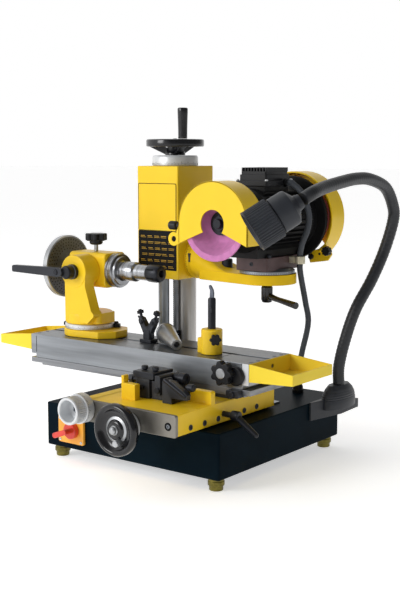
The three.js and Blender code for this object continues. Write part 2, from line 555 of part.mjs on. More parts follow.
/** V-shaped rest: foot, stem and two raised jaws, each with a knurled screw. */
function vRest() {
  const foot = box(-14, 14, -11, 11, GAP, 9);
  const stem = box(-8, 8, -8, 8, 8, 34);
  const jaw = (s) => handle([s * 3, 0, 28], [s * 17, 0, 48], 7, 6, 8);
  const screw = (s) => handle([s * 19, 0, 50], [s * 22, 0, 57], 7.5, 7.5, 10);
  piece(machine, "v_rest", OXIDE, fuse(foot, stem, jaw(-1), jaw(1), screw(-1), screw(1)), [-70, -51, TABLE.z1]);
}

function taperSleeve() {
  const cone = turned("y", [[0, 0], [17, 0], [19, 3], [10, 84], [9, 86], [0, 86]], 28);
  const hole = turned("y", [[0, 50], [5.5, 50], [5.5, 90], [0, 90]], 14);
  const sleeve = piece(machine, "taper_sleeve", BRIGHT, cut(cone, hole), [-44, -34, TABLE.z1 + 19.6]);
  sleeve.quaternion.setFromUnitVectors(
    new THREE.Vector3(0, 1, 0), new THREE.Vector3(0.79, -0.59, -0.112).normalize());
}

cabinet();
feet();
crossWay();
columnFoot();
posts();
switchGear();
lamp();
head();
liftWheel();
arm();
motor();
conduit();
saddle();
stopBlock();
crossFeed();
saddleLever();
tables();
trays();
workhead();
toothRest();
vRest();
taperSleeve();
machine.position.set(-ORIGIN.x, -ORIGIN.y, 0);

export default machine;
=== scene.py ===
"""Bench tool and cutter grinder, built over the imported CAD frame."""
import math

import bmesh
import bpy
from mathutils import Matrix, Vector
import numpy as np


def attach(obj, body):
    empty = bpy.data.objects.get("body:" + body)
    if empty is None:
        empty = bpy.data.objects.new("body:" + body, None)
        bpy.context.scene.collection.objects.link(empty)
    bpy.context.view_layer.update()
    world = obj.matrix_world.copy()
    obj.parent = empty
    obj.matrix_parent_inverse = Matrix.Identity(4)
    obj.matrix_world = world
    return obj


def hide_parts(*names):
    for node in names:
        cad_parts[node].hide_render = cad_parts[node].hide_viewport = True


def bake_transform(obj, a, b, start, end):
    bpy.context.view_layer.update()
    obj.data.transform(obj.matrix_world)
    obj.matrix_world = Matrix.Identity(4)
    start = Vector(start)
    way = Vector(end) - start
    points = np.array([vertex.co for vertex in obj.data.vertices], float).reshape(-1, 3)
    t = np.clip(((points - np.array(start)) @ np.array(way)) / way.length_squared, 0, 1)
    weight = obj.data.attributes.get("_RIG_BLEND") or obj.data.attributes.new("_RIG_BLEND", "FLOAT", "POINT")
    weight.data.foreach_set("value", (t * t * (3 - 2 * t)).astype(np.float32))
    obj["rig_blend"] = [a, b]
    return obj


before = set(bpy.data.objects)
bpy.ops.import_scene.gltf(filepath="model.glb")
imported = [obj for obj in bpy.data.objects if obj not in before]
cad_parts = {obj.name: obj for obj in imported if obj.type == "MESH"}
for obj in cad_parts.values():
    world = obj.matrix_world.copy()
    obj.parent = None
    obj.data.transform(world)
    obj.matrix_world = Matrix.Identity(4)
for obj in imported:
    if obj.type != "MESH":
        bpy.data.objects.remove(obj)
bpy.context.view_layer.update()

MM = 0.001
ORIGIN = Vector((-43.67, -25.55, 0.0))  # the part's own origin, from the middle of the cabinet

# Where the sub-parts stand, in millimetres from the middle of the cabinet's footprint.
MAIN_POST = (-127, 132, 0)
GUIDE_POST = (-145, 86, 0)
SWITCH = (-132, -193.3, 59)
SWITCH_AXIS = (-126, -199.6, 60)
GLAND = (128, 158, 0)
LAMP_SIDE = 198.3
LAMP_HEAD = (300, -107.4, 485)
LIFT = (-127, 101, 533)
ARM = (-75.7, 101, 353)
ARM_CLAMP = (93, 101, 316.7)
MOTOR = (93, 101, 435.4)
CROSS_FEED = (65, -262, 110)
TRAVERSE = (-38, -262, 127)
PLATE_SCREW = (147, -262, 121)
TABLE_FRONT = -114.3
WORKHEAD = (-225, -45, 207)
WORK_AXIS = (-225, -20, 333)
TOOTH_REST = (93, -72, 207)
VEE_REST = (-70, -51, 207)
SLEEVE_END = (-44, -34, 226.6)


def place(p):
    """A point in millimetres from the middle of the cabinet's footprint, in the row frame in metres."""
    return (Vector(p) - ORIGIN) * MM


def added(name, data):
    """A new object of the scene."""
    obj = bpy.data.objects.new(name, data)
    bpy.context.scene.collection.objects.link(obj)
    return obj


# ---- camera ----
camera = added("camera", bpy.data.cameras.new("camera"))
camera.data.lens = 65.85
camera.data.sensor_width = 36.0
camera.location = place((1236.2, -1601.6, 560.7))
camera.rotation_euler = (math.radians(90 - 7.7), 0.0, math.radians(37.4))
camera.data.clip_end = 50
bpy.context.scene.camera = camera


# ---- forms in millimetres ----
def onto(axis, r, h, t):
    """Point at radius r, height h and turn t about an axis."""
    c, s = r * math.cos(t), r * math.sin(t)
    return {"z": (c, s, h), "x": (h, c, s), "y": (s, h, c)}[axis]


def lathe(profile, axis="z", sides=64, at=(0, 0, 0)):
    """Turned form from a profile of (radius, height); closed if it ends where it starts."""
    closed = profile[0] == profile[-1]
    rows = profile[:-1] if closed else profile
    verts, rings, faces = [], [], []
    for r, h in rows:
        start = len(verts)
        count = 1 if r < 1e-6 else sides
        verts += [onto(axis, r, h, 2 * math.pi * i / sides) for i in range(count)]
        rings.append([start + (i if count > 1 else 0) for i in range(sides)])
    pairs = list(zip(rings, rings[1:])) + ([(rings[-1], rings[0])] if closed else [])
    for a, b in pairs:
        for i in range(sides):
            j = (i + 1) % sides
            face = []
            for v in (a[i], a[j], b[j], b[i]):
                if v not in face:
                    face.append(v)
            if len(face) > 2:
                faces.append(face)
    return moved((verts, faces), at)


def rod(axis, r, a, b, at=(0, 0, 0), sides=40):
    """Plain round bar; six sides make it a nut."""
    return lathe([(0, a), (r, a), (r, b), (0, b)], axis, sides, at)


def ring(axis, r0, r1, a, b, at=(0, 0, 0), sides=64):
    """Round bar with a bore."""
    return lathe([(r0, a), (r1, a), (r1, b), (r0, b), (r0, a)], axis, sides, at)


def strip(n):
    """Faces that join two outlines of n points each."""
    return [[i, (i + 1) % n, n + (i + 1) % n, n + i] for i in range(n)]


def prism(outline, axis, a, b, at=(0, 0, 0)):
    """Outline of (x,y), (x,z) or (y,z) drawn out from a to b along an axis."""
    def lift(u, v, w):
        return {"z": (u, v, w), "y": (u, w, v), "x": (w, u, v)}[axis]
    n = len(outline)
    verts = [lift(u, v, a) for u, v in outline] + [lift(u, v, b) for u, v in outline]
    faces = [list(range(n)), list(range(n, 2 * n))] + strip(n)
    return moved((verts, faces), at)


def block(x0, x1, y0, y1, z0, z1):
    """Square-edged bar between two corners."""
    return prism([(x0, y0), (x1, y0), (x1, y1), (x0, y1)], "z", z0, z1)


def rounded(u0, u1, v0, v1, r, steps=6):
    """Rectangle outline with rounded corners."""
    points = []
    for cu, cv, t0 in ((u1 - r, v1 - r, 0), (u0 + r, v1 - r, 90), (u0 + r, v0 + r, 180),
                       (u1 - r, v0 + r, 270)):
        points += arc(cu, cv, r, t0, t0 + 90, steps)
    return points


def arc(cu, cv, r, t0, t1, steps):
    """Points along an arc, its angles in degrees."""
    turns = [math.radians(t0 + (t1 - t0) * i / steps) for i in range(steps + 1)]
    return [(cu + r * math.cos(t), cv + r * math.sin(t)) for t in turns]


def lobes(r, depth, count, each=10):
    """Outline of a hand knob with rounded lobes and scooped valleys."""
    points = []
    for i in range(count * each):
        t = 2 * math.pi * i / (count * each)
        reach = r - depth * (0.5 - 0.5 * math.cos(count * t)) ** 1.6
        points.append((reach * math.cos(t), reach * math.sin(t)))
    return points


def knurl(r, depth, teeth):
    """Outline of a knurled or fluted edge."""
    n = teeth * 4
    points = []
    for i in range(n):
        reach = r - (depth if i % 4 in (2, 3) else 0)
        points.append((reach * math.cos(2 * math.pi * i / n), reach * math.sin(2 * math.pi * i / n)))
    return points


def smooth_path(points, each=8):
    """Catmull-Rom line through points."""
    p = [Vector(q) for q in points]
    p = [2 * p[0] - p[1]] + p + [2 * p[-1] - p[-2]]
    line = []
    for i in range(1, len(p) - 2):
        a, b, c, d = p[i - 1:i + 3]
        for k in range(each):
            t = k / each
            line.append(0.5 * (2 * b + (c - a) * t + (2 * a - 5 * b + 4 * c - d) * t * t
                               + (3 * b - a - 3 * c + d) * t ** 3))
    return line + [p[-2]]


def tube(line, radius, sides=20, ribs=None):
    """Swept round form along a line; ribs(i) gives an added radius at ring i."""
    verts, faces = [], []
    side = None
    for i, p in enumerate(line):
        along = (line[min(i + 1, len(line) - 1)] - line[max(i - 1, 0)]).normalized()
        side = along.orthogonal() if side is None else side - along * side.dot(along)
        side.normalize()
        other = along.cross(side)
        r = radius + (ribs(i) if ribs else 0)
        for k in range(sides):
            t = 2 * math.pi * k / sides
            verts.append(tuple(p + side * r * math.cos(t) + other * r * math.sin(t)))
    for i in range(len(line) - 1):
        for k in range(sides):
            j = (k + 1) % sides
            faces.append([i * sides + k, i * sides + j, (i + 1) * sides + j, (i + 1) * sides + k])
    faces += [list(range(sides)), list(range((len(line) - 1) * sides, len(line) * sides))]
    return verts, faces


def handle(p, q, rp, rq, sides=28):
    """Tapered round-ended bar from p to q."""
    p, q = Vector(p), Vector(q)
    length = (q - p).length
    near = [math.radians(t) for t in (70, 45, 20, 0)]
    far = [math.radians(t) for t in (20, 45, 70)]
    profile = [(0, -rp)] + [(rp * math.cos(t), -rp * math.sin(t)) for t in near]
    profile += [(rp + (rq - rp) * k / 6, length * k / 6) for k in range(1, 7)]
    profile += [(rq * math.cos(t), length + rq * math.sin(t)) for t in far] + [(0, length + rq)]
    turn = Vector((0, 0, 1)).rotation_difference(q - p)
    return moved(aimed(lathe(profile, "z", sides), turn), p)


def turned_about(form, axis, degrees):
    """Form turned about X, Y or Z."""
    m = Matrix.Rotation(math.radians(degrees), 4, axis)
    return [tuple(m @ Vector(v)) for v in form[0]], form[1]


def moved(form, at):
    """Form shifted by a vector."""
    return [tuple(Vector(v) + Vector(at)) for v in form[0]], form[1]


def aimed(form, quaternion):
    """Form turned by a quaternion."""
    return [tuple(quaternion @ Vector(v)) for v in form[0]], form[1]


def soften(obj, width, angle):
    """Rounds the edges that are sharper than an angle."""
    edge = obj.modifiers.new("edge", "BEVEL")
    edge.width, edge.segments, edge.limit_method = width * MM, 2, "ANGLE"
    edge.angle_limit = math.radians(angle)
    return edge


def make(name, forms, material, body, at=(0, 0, 0), bevel=0.0, angle=32, cad=(), slot=None, rides=True):
    """One piece of the machine from forms in millimetres about a point."""
    bm = bmesh.new()
    for verts, faces in forms:
        made = [bm.verts.new(place(Vector(v) + Vector(at))) for v in verts]
        for f in faces:
            bm.faces.new([made[i] for i in f])
    bmesh.ops.recalc_face_normals(bm, faces=bm.faces)
    mesh = bpy.data.meshes.new(name)
    bm.to_mesh(mesh)
    bm.free()
    mesh.materials.append(material)
    for p in mesh.polygons:
        p.use_smooth = True
    mesh.set_sharp_from_angle(angle=math.radians(angle))
    obj = added(name, mesh)
    if bevel:
        soften(obj, bevel, angle + 4).harden_normals = True
    if cad:
        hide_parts(*cad)
    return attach(obj, body) if rides else obj


def group(body, at=(0, 0, 0)):
    """The same as make, for pieces that share a body and a place."""
    def put(name, forms, material, bevel=0.0, **rest):
        return make(name, forms, material, body, at, bevel, **rest)
    return put


def dress(node, material, bevel=0.5):
    """Gives a CAD node its finish and softened edges."""
    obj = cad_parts[node]
    obj.data.materials.clear()
    obj.data.materials.append(material)
    for name in [a.name for a in obj.data.attributes if a.name == "custom_normal"]:
        obj.data.attributes.remove(obj.data.attributes[name])
    for p in obj.data.polygons:
        p.use_smooth = False
    weld = obj.modifiers.new("weld", "WELD")
    weld.merge_threshold = 2e-5
    soften(obj, bevel, 40)


# ---- finishes ----
def linear(code):
    """Linear colour from a six-digit sRGB code."""
    out = []
    for i in (0, 2, 4):
        c = int(code[i:i + 2], 16) / 255
        out.append(c / 12.92 if c <= 0.04045 else ((c + 0.055) / 1.055) ** 2.4)
    return (*out, 1.0)


def preset(node, values):
    """Sets inputs of a node by name."""
    for name, value in values.items():
        node.inputs[name].default_value = value


def finish(name, code, rough, metal=0.0, coat=0.0, shade=0.82, patch=14.0, grain=900.0, bump=0.15,
           depth=0.0002, stretch=(1, 1, 1), spread=0.07, worn=None, spec=0.5, streak=False, top=None):
    """Procedural finish: patchy colour, grain in the gloss and a fine relief; top, when given, darkens upward
    faces as painted shade.
    """
    m = bpy.data.materials.new(name)
    m.use_nodes = True
    n, link = m.node_tree.nodes, m.node_tree.links.new
    surface = n["Principled BSDF"]
    preset(surface,
           {"Metallic": metal, "Coat Weight": coat, "Specular IOR Level": spec, "Coat Roughness": 0.12})
    where = n.new("ShaderNodeTexCoord")
    mapping = n.new("ShaderNodeMapping")
    preset(mapping, {"Scale": stretch})
    link(where.outputs["Object"], mapping.inputs["Vector"])
    patches = n.new("ShaderNodeTexNoise")
    preset(patches, {"Scale": patch, "Detail": 5})
    link(mapping.outputs["Vector"] if streak else where.outputs["Object"], patches.inputs["Vector"])
    ramp = n.new("ShaderNodeValToRGB")
    base = linear(code)
    dark = [c * shade for c in base[:3]] + [1]
    ramp.color_ramp.elements[0].position, ramp.color_ramp.elements[0].color = 0.3, dark
    ramp.color_ramp.elements[1].position, ramp.color_ramp.elements[1].color = 0.62, base
    link(patches.outputs["Fac"], ramp.inputs["Fac"])
    colour = ramp.outputs["Color"]
    fine = n.new("ShaderNodeTexNoise")
    preset(fine, {"Scale": grain, "Detail": 3})
    link(mapping.outputs["Vector"], fine.inputs["Vector"])
    if worn is not None:
        geometry = n.new("ShaderNodeNewGeometry")
        rim = n.new("ShaderNodeMapRange")
        preset(rim, {"From Min": 0.54, "From Max": 0.64})
        link(geometry.outputs["Pointiness"], rim.inputs["Value"])
        mix = n.new("ShaderNodeMix")
        mix.data_type = "RGBA"
        link(rim.outputs["Result"], mix.inputs["Factor"])
        link(colour, mix.inputs[6])
        mix.inputs[7].default_value = linear(worn)
        colour = mix.outputs[2]
    # Painted shade: faces turned upwards are multiplied darker by top, following the Z of the normal.
    if top is not None:
        up = n.new("ShaderNodeSeparateXYZ")
        link(where.outputs["Normal"], up.inputs[0])
        painted_top_shade = n.new("ShaderNodeMix")
        painted_top_shade.data_type, painted_top_shade.blend_type = "RGBA", "MULTIPLY"
        link(up.outputs["Z"], painted_top_shade.inputs["Factor"])
        link(colour, painted_top_shade.inputs[6])
        painted_top_shade.inputs[7].default_value = (top, top, top, 1)
        colour = painted_top_shade.outputs[2]
    link(colour, surface.inputs["Base Color"])
    gloss = n.new("ShaderNodeMapRange")
    preset(gloss, {"To Min": max(rough - spread, 0.03), "To Max": min(rough + spread, 1)})
    link(fine.outputs["Fac"], gloss.inputs["Value"])
    link(gloss.outputs["Result"], surface.inputs["Roughness"])
    relief = n.new("ShaderNodeBump")
    preset(relief, {"Strength": bump, "Distance": depth})
    link(fine.outputs["Fac"], relief.inputs["Height"])
    link(relief.outputs["Normal"], surface.inputs["Normal"])
    return m


YELLOW = finish("yellow_enamel", "FBD21E", 0.34, coat=0.12, shade=0.93, patch=9, grain=260, bump=0.10,
                spec=0.3)
YELLOW_CAST = finish("yellow_cast", "FACF1E", 0.4, coat=0.08, shade=0.9, patch=12, grain=420, bump=0.30,
                     spec=0.3)
YELLOW_ARM = finish("yellow_arm", "FACF1E", 0.5, shade=0.86, patch=12, grain=420, bump=0.30, spec=0.12)
YELLOW_TRAY = finish("yellow_tray", "FCDE42", 0.42, shade=0.93, patch=9, grain=260, bump=0.10, spec=0.15)
NIGHT = finish("night_enamel", "0A1922", 0.42, shade=0.6, grain=500, bump=0.12, spec=0.02)
BLACK = finish("black_plastic", "15161A", 0.4, shade=0.7, grain=1400, bump=0.2, spec=0.3)
GLOSS = finish("black_gloss", "0E0E12", 0.2, coat=0.25, shade=0.8, grain=600, bump=0.05, spec=0.4)
MOTOR_BLACK = finish("motor_black", "161617", 0.45, shade=0.7, grain=700, bump=0.35, spec=0.2)
OXIDE = finish("black_oxide", "25272D", 0.36, metal=0.35, shade=0.6, grain=800, bump=0.3, worn="5A5D63",
               spec=0.3)
STEEL = finish("ground_steel", "8E9399", 0.38, metal=0.8, shade=0.72, patch=18, grain=300, bump=0.12,
               stretch=(6, 6, 0.5), spread=0.1)
# top darkens the upward faces of both table steels as painted shade.
TABLE_STEEL = finish("table_steel", "9A9EA3", 0.34, metal=0.7, shade=0.5, patch=9, grain=300, bump=0.16,
                     stretch=(0.3, 2.2, 5), spread=0.12, streak=True, top=0.46)
LOWER_STEEL = finish("slide_steel", "8E9094", 0.36, metal=0.65, shade=0.5, patch=12, grain=300, bump=0.16,
                     stretch=(0.3, 2.2, 6), spread=0.12, streak=True, top=0.5)
PLATE_STEEL = finish("milled_steel", "8C8880", 0.4, metal=0.75, shade=0.6, patch=14, grain=240, bump=0.25,
                     stretch=(2.2, 2, 0.9), streak=True)
BRIGHT = finish("bright_steel", "BBBDBF", 0.36, metal=0.9, shade=0.65, patch=26, grain=500, bump=0.08)
SPINDLE = finish("turned_steel", "ACAEB2", 0.29, metal=1.0, shade=0.6, patch=34, grain=420, bump=0.12,
                 stretch=(5, 0.4, 0.4), streak=True)
POST = finish("post_steel", "C6C3BF", 0.32, metal=0.9, shade=0.62, patch=20, grain=400, bump=0.06,
              stretch=(2.5, 2.5, 0.25), streak=True)
SILVER = finish("turned_aluminium", "DEE0E2", 0.38, metal=0.4, shade=0.88, patch=30, grain=700, bump=0.12)
CLIP = finish("clip_metal", "D2CBB2", 0.38, metal=0.5, shade=0.75, patch=80, grain=700, bump=0.15)
DISC = finish("index_plate", "5A5F6C", 0.42, metal=0.3, shade=0.6, patch=50, grain=500, bump=0.2, spread=0.12)
BRASS = finish("dull_brass", "7D7436", 0.36, metal=0.8, shade=0.4, patch=70, grain=600, bump=0.3)
RED = finish("red_plastic", "E23A28", 0.3, coat=0.3, shade=0.85, patch=60, grain=900, bump=0.08)
ORANGE = finish("orange_plate", "F6B03C", 0.4, shade=0.9, patch=40, grain=900, bump=0.1)
PINK = finish("abrasive", "D287BC", 0.95, shade=0.86, patch=120, grain=2600, bump=0.75, depth=0.0006,
              spec=0.2)
BROWN = finish("brown_enamel", "594646", 0.45, shade=0.7, patch=30, grain=500, bump=0.3, spec=0.3)
HOSE = finish("grey_hose", "44484E", 0.5, shade=0.85, patch=40, grain=900, bump=0.25, spec=0.3)
SLEEVE = finish("black_sleeve", "25272B", 0.42, shade=0.8, patch=40, grain=1100, bump=0.3, spec=0.4)
LAMP_BLACK = finish("lamp_plastic", "2D3036", 0.45, shade=0.8, patch=40, grain=1300, bump=0.2, spec=0.35)
# Also used as painted shade for the dividing plate's holes and the collet cap's slots.
INK_AND_RECESS_SHADE = finish("ink_and_recess_shade", "0E1013", 0.6, shade=0.8, grain=900, bump=0.05, spec=0.15)
GOLD = finish("plate_rule", "D8A92A", 0.5, shade=0.9, grain=900, bump=0.05)
LENS = finish("lamp_glass", "D8DCDD", 0.25, shade=0.9, patch=60, grain=500, bump=0.1)


def ticks(radius, count, low, high, axis="z", long_every=5, width=0.5, proud=0.12):
    """Engraved lines round a dial, standing a hair proud."""
    order = {"z": (0, 1, 2), "x": (2, 0, 1), "y": (1, 2, 0)}[axis]
    forms = []
    for i in range(count):
        top = high if i % long_every == 0 else low + (high - low) * 0.6
        form = block(radius - 0.3, radius + proud, -width / 2, width / 2, low, top)
        verts, faces = turned_about(form, "Z", 360 * i / count)
        forms.append(([tuple(v[k] for k in order) for v in verts], faces))
    return forms


def socket_screw(axis, sign, r, sides=20):
    """Cap screw seen from outside: a flush head with a hexagon recess."""
    head = lathe([(0, 0.1), (r * 0.5, 0.1), (r * 0.5, 1.2), (r * 0.85, 1.3), (r, 0.9), (r, 0), (0, 0)], axis,
                 sides)
    if sign < 0:
        i = "xyz".index(axis)
        head = ([tuple(-c if k == i else c for k, c in enumerate(v)) for v in head[0]], head[1])
    return head


# ---- conduit: the cords ----
def conduit():
    """Grey hose from the terminal box, held by the clip, then hanging down to the cabinet's gland."""
    radius = 5.5
    upper = smooth_path([(136.4, 105, 503.8), (143, 105.2, 503.6), (159, 117, 483.4), (168, 125, 447.4),
                         (167, 123, 419.4), (159, 118, 393.4), (152.5, 122, 375.4), (152, 122, 363.4),
                         (152, 122, 353.4)], 10)
    make("conduit_top", [tube(upper, radius, 20)], HOSE, "motor", cad=["conduit_upper"], slot="grey_hose")
    route = smooth_path([(152, 122, 353.1), (152, 122, 344), (151, 130, 322), (150, 146, 280),
                         (148, 160, 238), (134, 161, 178), (128, 158, 136), (128, 158, 118.3)], 12)
    swing_end, tilt_end = 33, 56
    cuts = [0, swing_end, tilt_end, len(route) - 1]
    names = (("conduit_swing", "motor", "arm"), ("conduit_tilt", "arm", "head"),
             ("conduit_drop", "head", "base"))
    for (name, a, b), i, j in zip(names, cuts, cuts[1:]):
        part = route[i:j + 1]
        piece = make(name, [tube(part, radius, 20)], HOSE, a, cad=["conduit_lower"], slot="grey_hose",
                     rides=False)
        path = [place(p) for p in part]
        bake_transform(piece, a, b, start=path[0], end=path[-1])


# ---- base ----
def base():
    """Cabinet with its feet, the posts, the switch and the hose gland."""
    dress("cabinet", NIGHT, 1.2)
    dress("cross_way", STEEL, 0.4)
    dress("column_foot", NIGHT, 0.6)
    for node, sx, sy in (("foot_fl", -1, -1), ("foot_fr", 1, -1), ("foot_rl", -1, 1), ("foot_rr", 1, 1)):
        foot = [(0, 0), (11, 0), (12, 1), (12.2, 7), (12.6, 8.4), (14, 9), (14.4, 10), (14.4, 16), (13.6, 17),
                (13.6, 21.6), (0, 21.6)]
        make(node + "_turned", [lathe(foot, "z", 48)], BRASS, "base", (sx * 178, sy * 173, 0), 0.3,
             cad=[node], slot="brass")
    main = lathe([(0, 118.3), (22.5, 118.3), (22.5, 462), (21.5, 464), (0, 464)], "z", 96)
    make("post_main", [main], POST, "base", MAIN_POST, cad=["column_post"], slot="bright_steel")
    guide = lathe([(0, 118.3), (10.8, 118.3), (10.8, 463), (10, 464), (0, 464)], "z", 64)
    make("post_guide", [guide], STEEL, "base", GUIDE_POST, cad=["guide_post"], slot="ground_steel")
    plate = prism(rounded(-31, 31, -25, 25, 4), "y", -6, 0)
    make("switch_cover", [plate], ORANGE, "base", SWITCH, 1.2, cad=["switch_plate"], slot="orange_plate")
    screws = [moved(socket_screw("y", -1, 2.6), (sx * 26, -6, sz * 20)) for sx in (-1, 1) for sz in (-1, 1)]
    make("switch_screws", screws, SILVER, "base", SWITCH)
    disc = lathe([(0, 0), (15, 0), (15, -9), (13.6, -11), (0, -11)], "y", 64)
    grip = prism(rounded(-22, 13, -5, 5, 4.8), "y", -32, -10)
    knob = [turned_about(f, "Y", -20) for f in (disc, grip)]
    make("switch_lever", knob, RED, "switch", SWITCH_AXIS, 1.2, cad=["switch_knob"], slot="red_plastic")
    gland = lathe([(5.7, 102.3), (11, 102.3), (11, 108), (10, 109), (10, 113), (8, 118), (5.7, 118),
                   (5.7, 102.3)], "z", 40)
    make("conduit_gland", [gland], BLACK, "base", GLAND, 0.3, cad=["cabinet_gland"], slot="black_plastic")


def lamp():
    """Work lamp: bracket on the cabinet's side, stiff bent neck and fluted shade."""
    heel = prism([(LAMP_SIDE, 86), (202, 86), (218, 170), (214, 241), (LAMP_SIDE, 241)], "z", 70, 87)
    wing = prism([(LAMP_SIDE, 86), (202, 86), (214, 149), (LAMP_SIDE, 149)], "z", 86, 104)
    bell = [(0, 84), (33.4, 84), (34, 85), (34, 99)]
    for r, z in ((33.6, 100), (33.0, 104), (32.0, 108), (30.4, 112), (28.2, 116)):
        bell += [(r, z), (r + 0.2, z + 1.4), (r - 1.0, z + 2.2), (r - 0.9, z + 3.2)]
    bell += [(25, 121.5), (21.6, 125.4), (20, 127), (0, 127)]
    arch = lathe(bell, "z", 72)
    arch = [(max(LAMP_SIDE, 210 + x * 0.66), 171 + y * 1.5, z) for x, y, z in arch[0]], arch[1]
    make("lamp_magnet", [wing, heel, arch], LAMP_BLACK, "base", bevel=1.6,
         cad=["lamp_foot"], slot="black_plastic")
    line = smooth_path([(212, 168, 127.3), (212.5, 167.3, 162), (222, 172.6, 213.4), (236, 184.8, 269.4),
                        (252, 214.8, 323.5), (265, 238.6, 379.1), (277.4, 246.5, 434.9), (281, 235, 464),
                        (283, 201, 496), (287, 136, 512), (290, 80, 514), (294, 19, 509), (300, -44, 502),
                        (307, -91, 494.5), (301, -106.3, 485.8)], 22)
    make("gooseneck", [tube(line, 10.9, 24, lambda i: -0.3 if i % 3 == 0 else 0.1)], SLEEVE, "lamp",
         angle=60, cad=["lamp_neck"], slot="black_hose")
    aim = Vector((0, 1, 0)).rotation_difference(Vector((-0.62, -0.58, -0.53)))
    back = lathe([(0, 3), (11.5, 3), (13, 8), (14, 12), (29, 21), (30.5, 25), (30.8, 50), (29, 51.5),
                  (29, 53)], "y", 72)
    count = 4 * 44
    flutes = []
    for i in range(count):
        radius = 34.8 if i % 4 in (0, 1) else 33.6
        flutes.append((radius * math.sin(2 * math.pi * i / count),
                       radius * math.cos(2 * math.pi * i / count)))
    shell = ([(x, h, z) for h in (53.5, 94) for x, z in flutes], strip(count))
    shoulders = [lathe([(29, 52), (34.6, 53.5), (33.4, 53.7)], "y", 72),
                 lathe([(33.4, 93.6), (35, 94), (35.2, 96), (32.5, 96), (31.5, 94), (31.5, 70), (20, 63),
                        (0, 61)], "y", 72)]
    forms = [aimed(f, aim) for f in [back, shell, *shoulders]]
    make("lamp_shade", forms, LAMP_BLACK, "lamp", LAMP_HEAD, cad=["lamp_head"], slot="black_plastic")
    lens = lathe([(0, 69.5), (12, 68.6), (20, 66.4), (24, 64), (18, 62.4), (0, 61.4)], "y", 48)
    make("lamp_lens", [aimed(lens, aim)], LENS, "lamp", LAMP_HEAD, angle=60)


# ---- head ----
def head():
    """Head housing with its two plates; the lower one has plain rules in place of lettering."""
    dress("head_housing", YELLOW, 1.2)
    x0, x1, z0, z1 = -174.5, -79.5, 332, 500
    split = 408
    front, back = 44.1, 44.7
    put = group("head")
    put("plate_upper", [prism(rounded(x0, x1, split, z1, 3), "y", front, back)], YELLOW, bevel=0.2)
    put("plate_lower", [prism(rounded(x0, x1, z0, split - 0.3, 1.5), "y", front, back)], INK_AND_RECESS_SHADE, bevel=0.2)
    outline = rounded(x0, x1, split, z1, 3, 4)
    inner = rounded(x0 + 1.3, x1 - 1.3, split + 1.0, z1 - 1.3, 2, 4)
    border = ([(u, 44.0, v) for u, v in outline + inner], strip(len(outline)))
    put("plate_border", [border], INK_AND_RECESS_SHADE)
    rules = []
    for k in range(6):
        z = 397 - 11.6 * k
        for j in range(5 if k else 4):
            a = x0 + 6 + j * 17 + (k * 5) % 4
            rules.append(block(a, a + 10 + (j * 7 + k * 3) % 6, 43.95, front, z, z + 1.0))
            rules.append(block(a, a + 13, 43.95, front, z - 2.6, z - 1.9))
    put("plate_rules", rules, GOLD)


def lift():
    """Lifting screw with its graduated collar, three-spoke wheel and crank grip."""
    dial = [(5.8, 0.3), (44, 0.3), (45, 1.3), (45, 16.5), (44, 18.5), (42.5, 20.4), (5.8, 20.4), (5.8, 0.3)]
    put = group("lift", LIFT)
    put("lift_collar", [lathe(dial, "z", 120)], SILVER, 0.3, cad=["lift_dial"], slot="silver")
    put("lift_collar_marks", ticks(45, 100, 1.8, 8.5, width=0.45), INK_AND_RECESS_SHADE)
    hub = [(0, 20.8), (20, 20.8), (20, 25), (17, 31), (14, 42), (9, 44), (0, 44)]
    rim = [(47.2, 38.6), (49, 37.2), (55, 37.2), (56.8, 38.6), (57, 42), (57, 49), (56, 51.2), (53, 52),
           (49.6, 51.4), (47.6, 49.4), (47.2, 44), (47.2, 38.6)]
    forms = [lathe(hub, "z", 56), lathe(rim, "z", 128)]
    for i in range(3):
        spoke = prism([(9, 23), (18, 22), (52, 38), (52, 48), (46, 49), (14, 34)], "y", -6.5, 6.5)
        forms.append(turned_about(spoke, "Z", -33.8 + 120 * i))
    put("lift_wheel", forms, GLOSS, 0.8, cad=["lift_handwheel"], slot="black_paint")
    nut = [(0, 44), (7, 44), (7, 49.5), (5.5, 51), (5.5, 52), (3, 53.5), (0, 53.5)]
    put("lift_nut_cap", [lathe(nut, "z", 24)], OXIDE, 0.3)
    grip = [(0, 0.3), (8.2, 0.3), (8.8, 1.4), (8.8, 4), (9, 18), (9.3, 32), (9.8, 46), (10, 52), (10, 56.4),
            (9.4, 58.2), (8, 59), (0, 59)]
    put("lift_crank_grip", [lathe(grip, "z", 64, (39.5, -26, 52.3))], GLOSS, 0.3, cad=["lift_grip"],
        slot="black_plastic")
    thread = [(0, -435)]
    z = -435.0
    while z < 18:
        thread += [(5.5, z + 0.3), (5.5, z + 1.6), (4.7, z + 2.2), (4.7, z + 3.6)]
        z += 4.0
    thread.append((0, z))
    put("lift_thread", [lathe(thread, "z", 32)], STEEL, cad=["elevating_screw"], slot="ground_steel")


